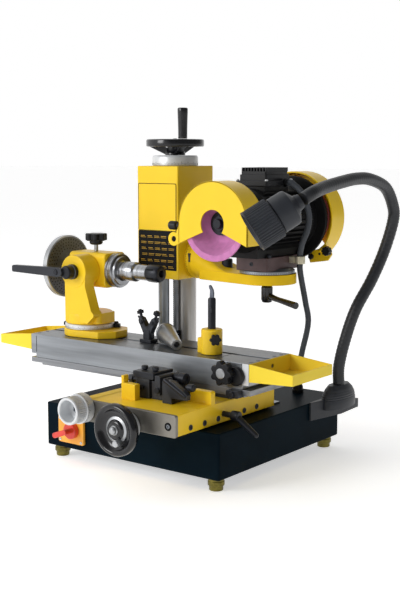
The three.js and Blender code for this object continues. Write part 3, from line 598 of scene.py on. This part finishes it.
def arm():
    """Yellow arm with its root flange, and the clamp lever under its end."""
    reach = MOTOR[0] - ARM[0]
    flange = lathe([(0, 0), (39, 0), (39, 8), (38, 9.5), (36, 11.5), (36, 13), (0, 13)], "x", 96)
    rows = ((5, 36, 36, 35.9), (17, 36, 36, 35.9), (30, 35.8, 25, 30), (44, 35.5, 11, 22), (60, 36, -2, 15),
            (78, 38, -11, 9), (98, 42, -16, 4), (118, 45, -17.6, 1.6))
    sections = [[(px, u, v) for u, v in rounded(-half, half, -36, top, r, 9)] for px, half, top, r in rows]
    n, last = len(sections[0]), len(sections) - 1
    verts = [p for row in sections for p in row]
    faces = [[a * n + k for k in side] for a in range(last) for side in strip(n)]
    faces += [list(range(n)), list(range(last * n, (last + 1) * n))]
    plan = [(34, -33.5), (reach, -55)] + arc(reach, 0, 55, -90, 90, 48)[1:-1] + [(reach, 55), (34, 33.5)]
    slab = prism(plan, "z", -36, -17.2)
    put = group("arm", ARM)
    put("arm_casting", [flange, (verts, faces), slab], YELLOW_ARM, 1.6, angle=40, cad=["arm"],
        slot="yellow_paint")
    put("arm_flange_marks", ticks(39, 72, 3.5, 7.5, axis="x", width=0.5), INK_AND_RECESS_SHADE)
    put("arm_flange_stud", [block(8.5, 13.6, -37.2, -30, -4, 13)], OXIDE, 0.6)
    bolt = [rod("z", 12, -19, -13), lathe([(0, -13), (10.6, -13), (10.6, 2), (9, 4), (0, 4)], "z", 32)]
    put("arm_top_bolt", [moved(form, (76, 0, 0)) for form in bolt], OXIDE, 0.8)
    hub = lathe([(0, -37), (8, -37), (9.5, -35.5), (11, -31), (11, -8), (9, -6), (9, 0), (0, 0)], "z", 40)
    bend = smooth_path([(4, 0, -24), (22, -8, -27), (50, -18, -30), (84, -30, -33.5)], 6)
    lever = tube(bend, 5.2, 20, lambda i: 1.3 * abs(i - 9) / 9)
    make("arm_clamp_handle", [hub, lever], GLOSS, "arm_clamp", ARM_CLAMP, 0.8, cad=["arm_lever"],
         slot="black_plastic")


# ---- motor ----
def motor():
    """Finned motor on its swivel plate, with the terminal box and the hose clip."""
    disc = lathe([(0, -99.1), (52, -99.1), (52, -93.5), (50, -92), (46, -89), (0, -89)], "z", 96)
    top = prism(rounded(-31, 39, -58, 64, 3), "z", -91.5, -66.4)
    put = group("motor", MOTOR)
    put("swivel_plate", [top], BROWN, 1.0, cad=["swivel_base"], slot="brown_paint")
    put("swivel_disc", [disc], STEEL, 0.4)
    put("swivel_marks", ticks(52, 72, -98.2, -94.6, width=0.5), LENS)
    put("swivel_screw", [moved(socket_screw("y", -1, 4), (4, -58, -79))], OXIDE)
    shell = lathe([(0, -118), (14, -118), (14, -114), (30, -113), (36, -110), (46, -98), (57, -82), (60, -78),
                   (60, -72), (59, -71), (59, 63), (60, 64), (60, 77), (79, 77), (80, 78), (80, 83), (79, 84),
                   (0, 84)], "y", 96)
    forms = [shell, block(-27, 33, -82, 58, -66.1, -42), block(-28, 28, -52, 26, 40, 63.3)]
    for i in range(-6, 7):
        for side in (0, 180):
            fin = prism([(56, -1.1), (64.4, -0.7), (65.6, 0), (64.4, 0.7), (56, 1.1)], "y", -66, 58)
            forms.append(turned_about(fin, "Y", side + i * 9))
    put("motor_shell", forms, MOTOR_BLACK, 0.5, cad=["motor_body"], slot="black_paint")
    bolts = [moved(socket_screw("y", -1, 3.2), (50 * math.sin(t), -90, 50 * math.cos(t)))
             for t in (0.8, 2.35, 3.93, 5.5)]
    feet_bolts = [lathe([(0, 0), (5, 0), (5, 5), (4, 6), (0, 6)], "z", 6, (x, y, -66.3))
                  for x in (-29, 36) for y in (-48, 54)]
    put("motor_bolts", bolts + feet_bolts, OXIDE, 0.3)
    box_forms = [prism(rounded(-34, 36, -57, 30, 4), "z", 63.6, 73),
                 prism(rounded(-28, 31, -52, 25, 3), "z", 72, 84),
                 prism(rounded(-26, 29, -50, 23, 3), "z", 83, 90), rod("x", 8, 34, 43, (0, 4, 68.4))]
    for k in range(9):
        box_forms.append(block(-25 + k * 6.4, -21.6 + k * 6.4, -49.5, 22.5, 89, 96.6))
    put("terminal_cover", box_forms, BLACK, 0.7, cad=["terminal_box"], slot="black_plastic")
    lid_screws = [lathe([(0, 0), (3, 0), (3, 2), (2, 2.6), (0, 2.6)], "z", 20, (x, y, 73))
                  for x in (-31, 33.2) for y in (-54, 27)]
    put("terminal_screws", lid_screws, SILVER)
    clip = [block(39.3, 50, 14, 28, -80, -68), ring("z", 5.9, 9.5, -81, -67, (59, 21, 0), 40),
            block(48, 52, 16, 26, -79, -69), rod("x", 7.5, 39.3, 44, (0, 21, -74), 6)]
    put("conduit_clip", clip, CLIP, 0.5, cad=["conduit_clamp"], slot="brass")


def rotor():
    """Wheel spindle with the flaring cup wheel in front and a plain wheel behind."""
    shaft = [lathe([(0, -160), (8, -160), (9, -158), (9, -154), (0, -154)], "y", 40),
             rod("y", 14, -154, -149, sides=6),
             rod("y", 21, -149, -142.2, sides=48),
             rod("y", 8, -142, 128),
             lathe([(0, 122.6), (20, 122.6), (20, 127), (13, 128), (13, 134), (8, 138), (0, 138)], "y", 40)]
    put = group("rotor", MOTOR)
    put("wheel_spindle", shaft, OXIDE, 0.4, cad=["rotor_shaft"], slot="ground_steel")
    cup = [(8.6, -130), (40, -130), (44, -133), (50, -143), (58, -155), (65.6, -165.5), (66, -168),
           (65, -169), (55, -169), (53.5, -167), (44, -153), (36, -143.5), (32, -141.5), (8.6, -141.5),
           (8.6, -130)]
    put("flaring_cup", [lathe(cup, "y", 96)], PINK, 0.6, cad=["cup_wheel"], slot="wheel_abrasive")
    plain = [(8.6, 102), (61, 102), (62, 103), (62, 121), (61, 122), (8.6, 122), (8.6, 102)]
    put("plain_wheel", [lathe(plain, "y", 96)], PINK, 0.4, cad=["rear_wheel"], slot="wheel_abrasive")


def guard_face(r, cheek, hub, a, b):
    """Sheet face of a guard: round top, straight cheeks and a wedge open downwards."""
    pts = arc(0, 0, r, 0, 180, 60) + [(-r, -cheek), (-r * 0.96, -cheek)]
    pts += arc(0, 0, hub, 216, -36, 40)
    pts += [(r * 0.96, -cheek), (r, -cheek)]
    return prism(pts, "y", a, b)


def guard_wall(r, cheek, thick, a, b):
    """Bent rim of a guard: half a tube with straight cheeks."""
    pts = [(r, -cheek)] + arc(0, 0, r, 0, 180, 72) + [(-r, -cheek), (-r + thick, -cheek)]
    pts += arc(0, 0, r - thick, 180, 0, 72) + [(r - thick, -cheek)]
    return prism(pts, "y", a, b)


def guards():
    """Front guard with its ear and pin, and the drum-shaped rear guard with its knobs."""
    ear = ring("y", 5.2, 12.4, -172.8, -170.6, (-86, 0, -29.5), 40)
    neck = prism([(-80, -40.2), (-70, -35.4), (-70, -4), (-75, -4), (-79.6, -19)], "y", -172.6, -170.8)
    r, cheek, thick, front, back = 75, 36, 2.6, -173, -123
    forms = [guard_face(r, cheek, 25, front, front + thick), guard_face(r, cheek, 40, back - thick, back),
             guard_wall(r, cheek, thick, front, back), ear, neck]
    make("guard_front", forms, YELLOW, "front_hood", MOTOR, 0.7, cad=["front_guard"], slot="yellow_paint")
    pin = [(0, -74), (4.5, -74), (4.5, -85), (7.4, -86), (8, -88), (8, -100), (6.6, -102), (0, -102)]
    make("guard_front_pin", [lathe(pin, "x", 28, (0, -163, -6))], BLACK, "front_hood", MOTOR, 0.5)
    drum, start, end = 88, -48, 205
    band = prism(arc(0, 0, drum, start, end, 96) + arc(0, 0, drum - 3, end, start, 96), "y", 87, 132)
    back = prism(arc(0, 0, drum - 0.5, start, end, 96) + arc(0, 0, 22, end, start, 48), "y", 129, 132)
    tongue = prism([(30, -66), (37, -86), (76, -80), (84, -68), (78, -54), (66, -50), (56, -58)], "y", 92, 97)
    make("guard_rear", [band, back, tongue], YELLOW, "rear_hood", MOTOR, 0.7, cad=["rear_guard"],
         slot="yellow_paint")
    knob = prism(lobes(9, 1.6, 8), "y", 79, 90)
    stem = rod("y", 4, 89, 93, (0, 0, 0), 20)
    small = lathe([(0, 92.2), (5.4, 92.2), (5.4, 88), (4.4, 86.6), (0, 86.6)], "y", 24, (40, 0, -74))
    dot = lathe([(0, 92.2), (2.4, 92.2), (2.4, 90.8), (0, 90.8)], "y", 20, (58, 0, -68))
    make("guard_rear_knobs", [moved(knob, (78, 0, -61)), moved(stem, (78, 0, -61)), small, dot], BLACK,
         "rear_hood", MOTOR, 0.6)


# ---- saddle ----
def saddle():
    """Cross slide casting with its front plate, table stop and clamp lever."""
    x0, x1, y0, y1, z1 = -31, 162, -255, 24.5, 140.5
    bed = prism([(x0, 105), (35, 105), (35, 120), (95, 120), (95, 105), (x1, 105), (x1, z1), (x0, z1)], "y",
                y0, y1)
    boss = prism(rounded(x0 - 21, x0 + 6, 112, z1, 3), "y", y0, -40)
    left = prism([(6.5, z1 - 1), (37.5, z1 - 1), (37.5, 167.5), (12.5, 168.5), (12.5, 181), (6.5, 181)], "y",
                 -216, -203)
    right = prism([(112, z1 - 1), (x1 - 0.2, z1 - 1), (x1 - 0.2, 161), (x1 - 2, 163), (124, 163), (112, 148)],
                  "y", -166, -154)
    put = group("saddle")
    put("saddle_casting", [bed, boss, left, right], YELLOW_CAST, bevel=1.0, cad=["saddle"],
        slot="yellow_paint")
    dress("front_plate", PLATE_STEEL, 0.5)
    dress("table_way", OXIDE, 0.5)
    grub = [(0, 0.4), (2.4, 0.4), (2.4, 1.0), (4.6, 1.2), (5.0, 0.6), (5.0, -0.2), (0, -0.2)]
    screws = [lathe(grub, "x", 24, (x1 + 0.1, y, 114)) for y in (-222, -184, -146, -70, -32)]
    put("gib_screws", screws, OXIDE)
    bezel = [(0, 0.2), (6.8, 0.2), (6.8, -0.5), (6.2, -0.9), (4.2, -0.9), (4.2, 1.6), (0, 1.6)]
    put("plate_screw_ring", [lathe(bezel, "y", 32, PLATE_SCREW)], INK_AND_RECESS_SHADE)
    bolt = [(0, 1.7), (3.8, 1.7), (3.8, -0.1), (3.2, -0.6), (1.6, -0.6), (1.6, 0.6), (0, 0.6)]
    put("plate_screw", [lathe(bolt, "y", 6, PLATE_SCREW)], STEEL)
    table_stop()
    forms = [rod("x", 5, x1 + 0.3, 190, (0, -132, 120)),
             lathe([(0, 181), (8, 181), (8.5, 182), (8.5, 195), (7.5, 196), (0, 196)], "x", 40,
                   (0, -132, 120)),
             handle((191, -132, 118), (226, -126, 91), 6.0, 4.4, 24)]
    make("saddle_clamp_handle", forms, OXIDE, "saddle_clamp", bevel=0.5, cad=["saddle_lever"],
         slot="black_oxide")


def table_stop():
    """Black stop castings on the saddle, with their barrel, wedge and small screws."""
    z = 140.8
    barrel = [(0, 40), (9, 40), (9, 84), (10.4, 84.4), (10.4, 96.6), (9.4, 98), (4, 98), (4, 96), (0, 96)]
    wedge = [(86, z), (106, z), (106, 151), (138, 151), (139, 160), (106, 180), (95, 181), (86, 178)]
    end_bolt = [(0, 0), (7.4, 0), (8, 0.8), (8, 9), (5, 10), (5, 21), (0, 21)]
    forms = [block(20, 49, -192, -137.2, z, 176), prism(rounded(14, 60, 175, 187, 2.5), "y", -194, -140),
             block(52, 88, -189, -140, z, 172),
             prism([(62, 150), (74, 150), (74, 181), (71, 183), (62, 183)], "y", -193, -140),
             lathe(barrel, "x", 48, (0, -150, 174)), prism(wedge, "y", -202, -191),
             block(84, 105, -192, -150, z, 160), lathe(end_bolt, "x", 6, (0, -184, 170))]
    put = group("saddle")
    put("stop_casting", forms, OXIDE, bevel=1.2, cad=["stop_block"], slot="black_oxide")
    lever = [handle((92, -201, 180), (134, -201, 158), 4.2, 3.2, 20)]
    stud = [(0, 0), (4, 0), (4, 2), (6, 2.4), (6, 7), (5, 8.4), (0, 8.4)]
    studs = [lathe(stud, "z", 24, (x, -176, top)) for x, top in ((26, 186), (50, 186), (80, 171))]
    end_cap = [(0, 126), (3.6, 126), (3.6, 130), (6.4, 130.6), (6.6, 141), (5.2, 142.6), (0, 142.6)]
    wide_cap = [(0, -189.5), (3.4, -189.5), (3.4, -192), (5.2, -192.4), (5.2, -196), (0, -196)]
    narrow_cap = [(0, -191), (3.4, -191), (3.4, -194), (5.0, -194.4), (5.0, -197), (0, -197)]
    caps = [lathe(end_cap, "x", 24, (0, -187, 170.4)), lathe(wide_cap, "y", 24, (68, 0, 158)),
            lathe(narrow_cap, "y", 24, (34, 0, 160))]
    put("stop_levers", lever + studs + caps, OXIDE, bevel=0.6)


def controls():
    """Cross-feed handwheel with its collar, and the hollow table traverse knob."""
    collar = lathe([(5.3, -0.3), (23, -0.3), (24.6, -1.5), (25, -3), (25, -19), (24, -20), (5.3, -20),
                    (5.3, -0.3)], "y", 96)
    screw = rod("y", 5.2, -20, 211, (0, 0, 0), 32)
    put = group("cross_feed", CROSS_FEED)
    put("cross_collar", [collar, screw], SILVER, 0.3, cad=["cross_screw"], slot="silver")
    put("cross_collar_marks", ticks(25, 50, -18.5, -11, axis="y", width=0.5), INK_AND_RECESS_SHADE)
    dish = [(5.3, -21), (15, -21), (17, -25.5), (30, -22), (38, -23), (43, -27), (44, -31), (44, -37),
            (42, -40.6), (39, -41.8), (36, -40.6), (33.5, -37), (30, -33.2), (24, -32), (18.5, -33.4),
            (16, -37), (12.5, -38.6), (5.3, -38.6), (5.3, -21)]
    put("cross_wheel", [lathe(dish, "y", 96)], GLOSS, 0.0, angle=50, cad=["cross_handwheel"],
        slot="black_paint")
    chrome = [lathe([(0, -38), (8, -38), (8.4, -39.4), (6.5, -41), (6.5, -44), (4, -46), (0, -46)], "y", 40),
              lathe([(17.4, -33.7), (22.4, -32.3), (22.2, -33.2), (17.8, -34.6), (17.4, -33.7)], "y", 72),
              lathe([(0, -31), (6.2, -31), (6.6, -36), (4, -42), (6.0, -45), (5, -46.6), (0, -46.9)], "y", 40,
                    (8, 0, -20))]
    put("cross_hub", chrome, BRIGHT, 0.3)
    rear = lathe([(0, 32), (5.2, 32), (5.2, -0.3), (25, -0.3), (26, -1.5), (26, -17), (25, -18), (20, -18.4),
                  (0, -18.4)], "y", 96)
    outline = knurl(23.5, 0.7, 40)
    front = ([(u, y, v) for y in (-18.4, -34.5) for u, v in outline], strip(len(outline)))
    lip = [(22.6, -34.4), (23.6, -35), (23.6, -39.6), (22.4, -41), (19.6, -41), (18.4, -39.6), (17.6, -20),
           (16, -17), (0, -16.4)]
    turn = group("table_drive", TRAVERSE)
    turn("traverse_knob", [rear, front, lathe(lip, "y", 96)], SILVER, 0.0, cad=["table_knob"], slot="silver")
    turn("traverse_marks", ticks(26, 60, -16.4, -11, axis="y", width=0.45), INK_AND_RECESS_SHADE)
    bolt = [(0, -16), (6.4, -16), (6.4, -21), (5, -22.6), (3, -22.6), (3, -19.5), (0, -19.5)]
    turn("traverse_bolt", [lathe(bolt, "y", 6)], STEEL, 0.3)


# ---- table ----
def star_knob(name, axis, sign, r, stem_r, stem, thick, at, body, cad, cap=True, count=6, turn=None, hub=0.0):
    """Lobed hand knob on its stem; turn swings the whole knob about its own seat."""
    a, b = (stem, stem + thick) if sign > 0 else (-stem - thick, -stem)
    head = [prism(lobes(r, r * 0.24, count), axis, a, b)]
    if hub:
        low, high = (stem - 8, stem + 1) if sign > 0 else (-stem - 1, -stem + 8)
        head.append(lathe([(0, low), (hub * 0.8, low), (hub, low + 3), (hub, high), (0, high)], axis, 40))
    low, high = (0, stem + 1) if sign > 0 else (-stem - 1, 0)
    stems = [rod(axis, stem_r, low, high, sides=28)]
    if cap:
        face, out = (b, b + 0.9) if sign > 0 else (a, a - 0.9)
        stems.append(lathe([(0, face), (r * 0.42, face), (r * 0.36, out), (0, out)], axis, 32))
    if turn is not None:
        head, stems = [turned_about(f, "Z", turn) for f in head], [turned_about(f, "Z", turn) for f in stems]
    make(name, head, BLACK, body, at, 1.8, angle=40, cad=[cad], slot="black_plastic")
    make(name + "_stem", stems, BRIGHT, body, at)


def table():
    """Table with its trays, end seams, lock knob and swivel lock."""
    dress("lower_table", LOWER_STEEL, 0.4)
    dress("upper_table", TABLE_STEEL, 0.6)
    dress("left_tray", YELLOW_TRAY, 0.4)
    dress("right_tray", YELLOW_TRAY, 0.4)
    seams = [block(-304.4, -303.2, -114.2, -113.8, 172, 204), block(187.2, 188, -114.2, -113.8, 169.4, 206.6)]
    put = group("table")
    put("table_end_seams", seams, INK_AND_RECESS_SHADE)
    put("table_end_cap", [prism(rounded(188.4, 201.7, 169.5, 206.7, 0.6), "y", -114.25, -113.9)], SILVER)
    screws = [lathe([(0, 0.3), (3.4, 0.3), (3.8, -0.2), (0, -0.2)], "z", 24, (x, y, 207))
              for x in (-311, 195) for y in (-98, -76, -26, -4)]
    put("table_end_screws", screws, OXIDE)
    star_knob("table_lock_knob", "y", -1, 21.5, 9, 8, 14, (158.5, TABLE_FRONT, 189), "table_clamp",
              "table_star_knob", count=7, hub=13)
    boss = [lathe([(0, TABLE_FRONT), (17, TABLE_FRONT), (17, -119), (15, -121.6), (0, -121.6)], "y", 48,
                  (177, 0, 184))]
    put("table_lock_boss", boss, BLACK, bevel=0.8)
    clamp = [prism(rounded(164, 190, 148, 161, 3), "y", -128, -114.4),
             rod("y", 5, -132, -126, (177, 0, 154.5), 24)]
    make("swivel_lock", clamp, OXIDE, "slide", bevel=1.0)


def workhead():
    """Dividing workhead: foot, graduated ring, yoke, barrel and the lever that clamps its tilt."""
    plan = [(0, -50), (60, -43), (82, -16), (82, 16), (60, 43), (0, 50)] + arc(0, 0, 50, 90, 270, 64)[1:-1]
    put = group("table", WORKHEAD)
    put("workhead_foot", [prism(plan, "z", 0.3, 14)], YELLOW_CAST, 1.6, cad=["workhead_base"],
        slot="yellow_paint")
    dial = lathe([(0, 14.3), (47, 14.3), (48, 15), (48, 22.6), (46, 24), (0, 24)], "z", 96)
    put("workhead_dial", [dial], SILVER, 0.3, cad=["swivel_ring"], slot="silver")
    put("workhead_dial_marks", ticks(48, 120, 15.4, 20.4, width=0.45), INK_AND_RECESS_SHADE)
    clamps = []
    for x, y in ((45, 27), (-51, -9)):
        clamps.append(rod("z", 9, 14.3, 21, (x, y, 0), 6))
        clamps.append(lathe([(0, 20), (4.4, 20), (4.4, 24.6), (3.4, 25.6), (0, 25.6)], "z", 24, (x, y, 0)))
    put("workhead_nuts", clamps, OXIDE, 0.6)
    z = 126
    turntable = lathe([(0, 24.3), (44.8, 24.3), (46, 25.4), (46, 41), (45, 44), (42, 46), (0, 46)], "z", 96)
    lug = prism(rounded(16, 52, -30, 20, 9), "z", 26.3, 47)
    column = prism([(-24, 28), (34, 28), (50, 42), (50, 47), (44, 53), (29, 100), (30.4, z - 8),
                    (31.6, z)] + arc(0, z, 32, 2, 178, 60)[1:-1]
                   + [(-31.6, z), (-30, z - 10), (-24, z - 20)], "y", -44, -19)
    boss = lathe([(8.2, -45), (31, -45), (32, -44), (32, -6.4), (31, -5.3), (8.2, -5.3), (8.2, -45)], "y", 96,
                 (0, 0, z))
    make("workhead_column", [turntable, lug, column, boss], YELLOW_CAST, "workhead", WORKHEAD, 1.6,
         cad=["workhead_yoke"], slot="yellow_paint")
    nut = lathe([(0, -68), (11, -68), (13, -66), (13, -54), (14.6, -53), (14.6, -45.4), (0, -45.4)], "y", 48,
                (0, 0, z))
    outline = [(-140, z - 5.4), (-137, z - 6.6), (-16, z - 9), (-6, z - 7), (-4, z), (-6, z + 7),
               (-16, z + 9), (-136, z + 7), (-140, z + 5.4)]
    lever = prism(outline, "y", -73, -62)
    pin = lathe([(0, -75), (5, -75), (6, -73), (6, -70), (0, -70)], "y", 32, (-20, 0, z))
    make("tilt_clamp_lever", [nut, lever, pin], OXIDE, "workhead_clamp", WORKHEAD, 1.6,
         cad=["workhead_lever"], slot="black_oxide")
    y = 25
    body = prism(rounded(y - 30, y + 30, z - 33, z + 34, 9, 8), "x", -49, 45)
    make("spindle_barrel", [body, rod("y", 7.8, -30, 0, (0, 0, z))], YELLOW_CAST, "barrel", WORKHEAD, 2.4,
         cad=["workhead_barrel"], slot="yellow_paint")
    star_knob("barrel_lock_knob", "z", 1, 21.5, 4, 21, 14, (-229, -20, 367.3), "barrel_clamp",
              "spindle_star_knob", cap=False, count=7, hub=13)
    work_spindle()


def work_spindle():
    """Work spindle with its collet cap and the dividing plate with its circles of holes."""
    spindle = [(0, -97), (8, -97), (9, -96), (12, -92.5), (12, 45.4), (32, 45.4), (33, 46.4), (33, 49.6),
               (31.4, 51), (31.4, 53), (33, 54.4), (33, 60.4), (31.6, 62), (28, 63), (27, 66.4), (20, 67.2),
               (18.7, 68.4), (18.7, 77), (17.9, 77.6), (17.9, 79), (18.7, 79.6), (18.7, 99.6), (17.6, 101.4),
               (14.8, 103), (14.8, 131), (0, 131)]
    put = group("work_spindle", WORK_AXIS)
    put("spindle_nose", [lathe(spindle, "x", 96)], SPINDLE, 0.0, cad=["work_spindle"], slot="bright_steel")
    put("spindle_marks", ticks(33, 72, 55, 60, axis="x", width=0.45), INK_AND_RECESS_SHADE)
    rear, front = -91, -79
    put("dividing_plate", [ring("x", 12.4, 58.6, rear, front, sides=128)], DISC, 0.0, cad=["index_disc"],
        slot="ground_steel")
    rim = [(58, -90), (60.4, -91.2), (62, -90.2), (62, -79.8), (60.4, -78.8), (58, -80), (58, -90)]
    put("dividing_rim", [lathe(rim, "x", 128)], BRIGHT, 0.0)
    # The shallow dents are coloured black as painted shade that stands for the depth of the holes.
    dents, scribed = [], []
    for radius, count in ((54, 48), (48, 40), (42, 36), (36, 30)):
        for i in range(count):
            t = 2 * math.pi * i / count
            at = (0, radius * math.cos(t), radius * math.sin(t))
            for h in (rear - 0.05, front + 0.05):
                dents.append(lathe([(0, h - 0.15), (1.2, h - 0.15), (1.5, h), (0, h)], "x", 10, at))
        for h in (rear, front):
            scribed.append(ring("x", radius + 2.7, radius + 3.2, h - 0.12, h + 0.12, sides=96))
    put("dividing_holes", dents, INK_AND_RECESS_SHADE)
    put("dividing_circles", scribed, OXIDE)
    nut = [(6, 131.3), (15, 131.3), (16.5, 134), (16.5, 157), (14.5, 160.6), (13, 161), (7, 161), (6, 159),
           (6, 131.3)]
    # The slots are dark blocks on the cap: painted shade standing for the recesses.
    slots = [turned_about(block(136, 152, -1.6, 1.6, 14.6, 16.9), "X", 60 * i) for i in range(6)]
    put("collet_cap", [lathe(nut, "x", 72)], OXIDE, 0.5, cad=["collet_nut"], slot="black_oxide")
    put("collet_slots", slots, INK_AND_RECESS_SHADE)


def on_table():
    """Tooth rest, vee rest and the taper sleeve that lies on the table."""
    holder = [lathe([(7.4, 0.3), (18.4, 0.3), (19, 1), (19, 43), (17.6, 44.6), (7.4, 45), (7.4, 0.3)], "z",
                    72),
              prism(rounded(-28, -10, -7, 12, 3), "z", 0.3, 27)]
    make("tooth_rest_socket", holder, YELLOW_CAST, "table", TOOTH_REST, 1.2, cad=["toothrest_holder"],
         slot="yellow_paint")
    post = [lathe([(0, 10), (7, 10), (7, 97), (6, 99.4), (0, 100)], "z", 48),
            prism(rounded(-2, 5, 74, 84, 2), "y", -8.4, -6)]
    make("tooth_rest_pillar", post, OXIDE, "tooth_rest", TOOTH_REST, 0.5, cad=["toothrest_post"],
         slot="black_oxide")
    blade = prism([(-4, 99), (4, 99), (4.4, 108), (3, 114), (-1, 120), (-3, 122), (-6, 121), (-5, 116),
                   (-3, 112)], "y", -1.8, 1.8)
    make("tooth_rest_blade", [blade], DISC, "tooth_rest", TOOTH_REST, 0.4)
    seat = (TOOTH_REST[0] + 0.76 * 19.3, TOOTH_REST[1] - 0.65 * 19.3, 236)
    star_knob("tooth_rest_lock", "y", -1, 10.5, 4, 5, 8, seat, "tooth_rest_clamp", "toothrest_knob",
              cap=False, turn=math.degrees(math.atan2(0.76, 0.65)))
    forms = [prism(rounded(-14, 14, -11, 11, 2), "z", 0.3, 7), prism(rounded(-8, 8, -8, 8, 2), "z", 6, 24),
             prism([(-9, 18), (9, 18), (20, 40), (19, 48), (12, 46), (2, 31), (-2, 31), (-12, 46), (-19, 48),
                    (-20, 40)], "y", -6.4, 6.4)]
    for side in (-1, 1):
        forms.append(rod("y", 4, -9.6, -6, (side * 13, 0, 38), 6))
        forms.append(rod("y", 3.4, 5, 10.4, (side * 8, 0, 28), 20))
    make("vee_rest", forms, OXIDE, "table", VEE_REST, 0.9, cad=["v_rest"], slot="black_oxide")
    screws = []
    for side in (-1, 1):
        axis_turn = Vector((0, 0, 1)).rotation_difference(Vector((side * 0.3, 0, 0.95)))
        for form in (prism(knurl(6.4, 0.7, 12), "z", 0, 6), rod("z", 2.8, -14, 1, sides=16),
                     rod("z", 3.4, 5.6, 8.2, sides=16)):
            screws.append(moved(aimed(form, axis_turn), (side * 19, 0, 53)))
        for form in (prism(knurl(4.2, 0.5, 10), "z", -3, 3), rod("z", 2, -9, 9, sides=16)):
            screws.append(moved(turned_about(form, "Y", side * 70), (side * 16, -1, 44)))
    make("vee_rest_screws", screws, OXIDE, "table", VEE_REST, 0.2)
    aim = Vector((0, 1, 0)).rotation_difference(Vector((0.79, -0.59, -0.112)))
    cone = [(0, 0.2), (16.4, 0.2), (18.4, 1.6), (19, 4), (18.9, 6.5), (18.0, 7.2), (10.2, 83), (9.4, 86),
            (5.6, 86), (5.2, 84), (5, 52), (0, 50)]
    make("tool_sleeve", [aimed(lathe(cone, "y", 96), aim)], BRIGHT, "table", SLEEVE_END, cad=["taper_sleeve"],
         slot="bright_steel")


# ---- studio ----
def studio():
    """White floor, a world that is dimmer from the upper right, and two soft lights."""
    mesh = bpy.data.meshes.new("floor")
    half = 30
    mesh.from_pydata([(-half, -half, 0), (half, -half, 0), (half, half, 0), (-half, half, 0)], [],
                     [(0, 1, 2, 3)])
    floor = added("floor", mesh)
    white = finish("floor_white", "FFFFFF", 0.9, shade=0.99, patch=2, grain=60, bump=0.02, spec=0.2)
    glow = {"Emission Color": (1, 1, 1, 1), "Emission Strength": 0.5}
    preset(white.node_tree.nodes["Principled BSDF"], glow)
    mesh.materials.append(white)
    world = bpy.data.worlds.new("world")
    bpy.context.scene.world = world
    world.use_nodes = True
    n, link = world.node_tree.nodes, world.node_tree.links.new
    where = n.new("ShaderNodeTexCoord")
    toward = n.new("ShaderNodeVectorMath")
    toward.operation = "DOT_PRODUCT"
    toward.inputs[1].default_value = (0.8, 0.0, 0.6)
    link(where.outputs["Generated"], toward.inputs[0])
    side = n.new("ShaderNodeMapRange")
    side.interpolation_type = "SMOOTHSTEP"
    preset(side, {"From Min": -0.12, "From Max": 0.5, "To Min": 1.0, "To Max": 0.22})
    link(toward.outputs["Value"], side.inputs["Value"])
    link(side.outputs["Result"], n["Background"].inputs["Strength"])
    preset(n["Background"], {"Color": (1, 1, 1, 1)})
    lights = (("key", (-1.5, -3.3, 1.65), 1.5, 58), ("top", (-0.6, 0.4, 3.4), 1.6, 8))
    for name, at, size, power in lights:
        data = bpy.data.lights.new(name, "AREA")
        data.size, data.energy = size, power
        light = added(name, data)
        light.location = at
        light.rotation_euler = (Vector((0, 0, 0.3)) - Vector(at)).to_track_quat("-Z", "Y").to_euler()
    bpy.context.scene.view_settings.view_transform = "Standard"


conduit()
base()
lamp()
head()
lift()
arm()
motor()
rotor()
guards()
saddle()
controls()
table()
workhead()
on_table()
studio()
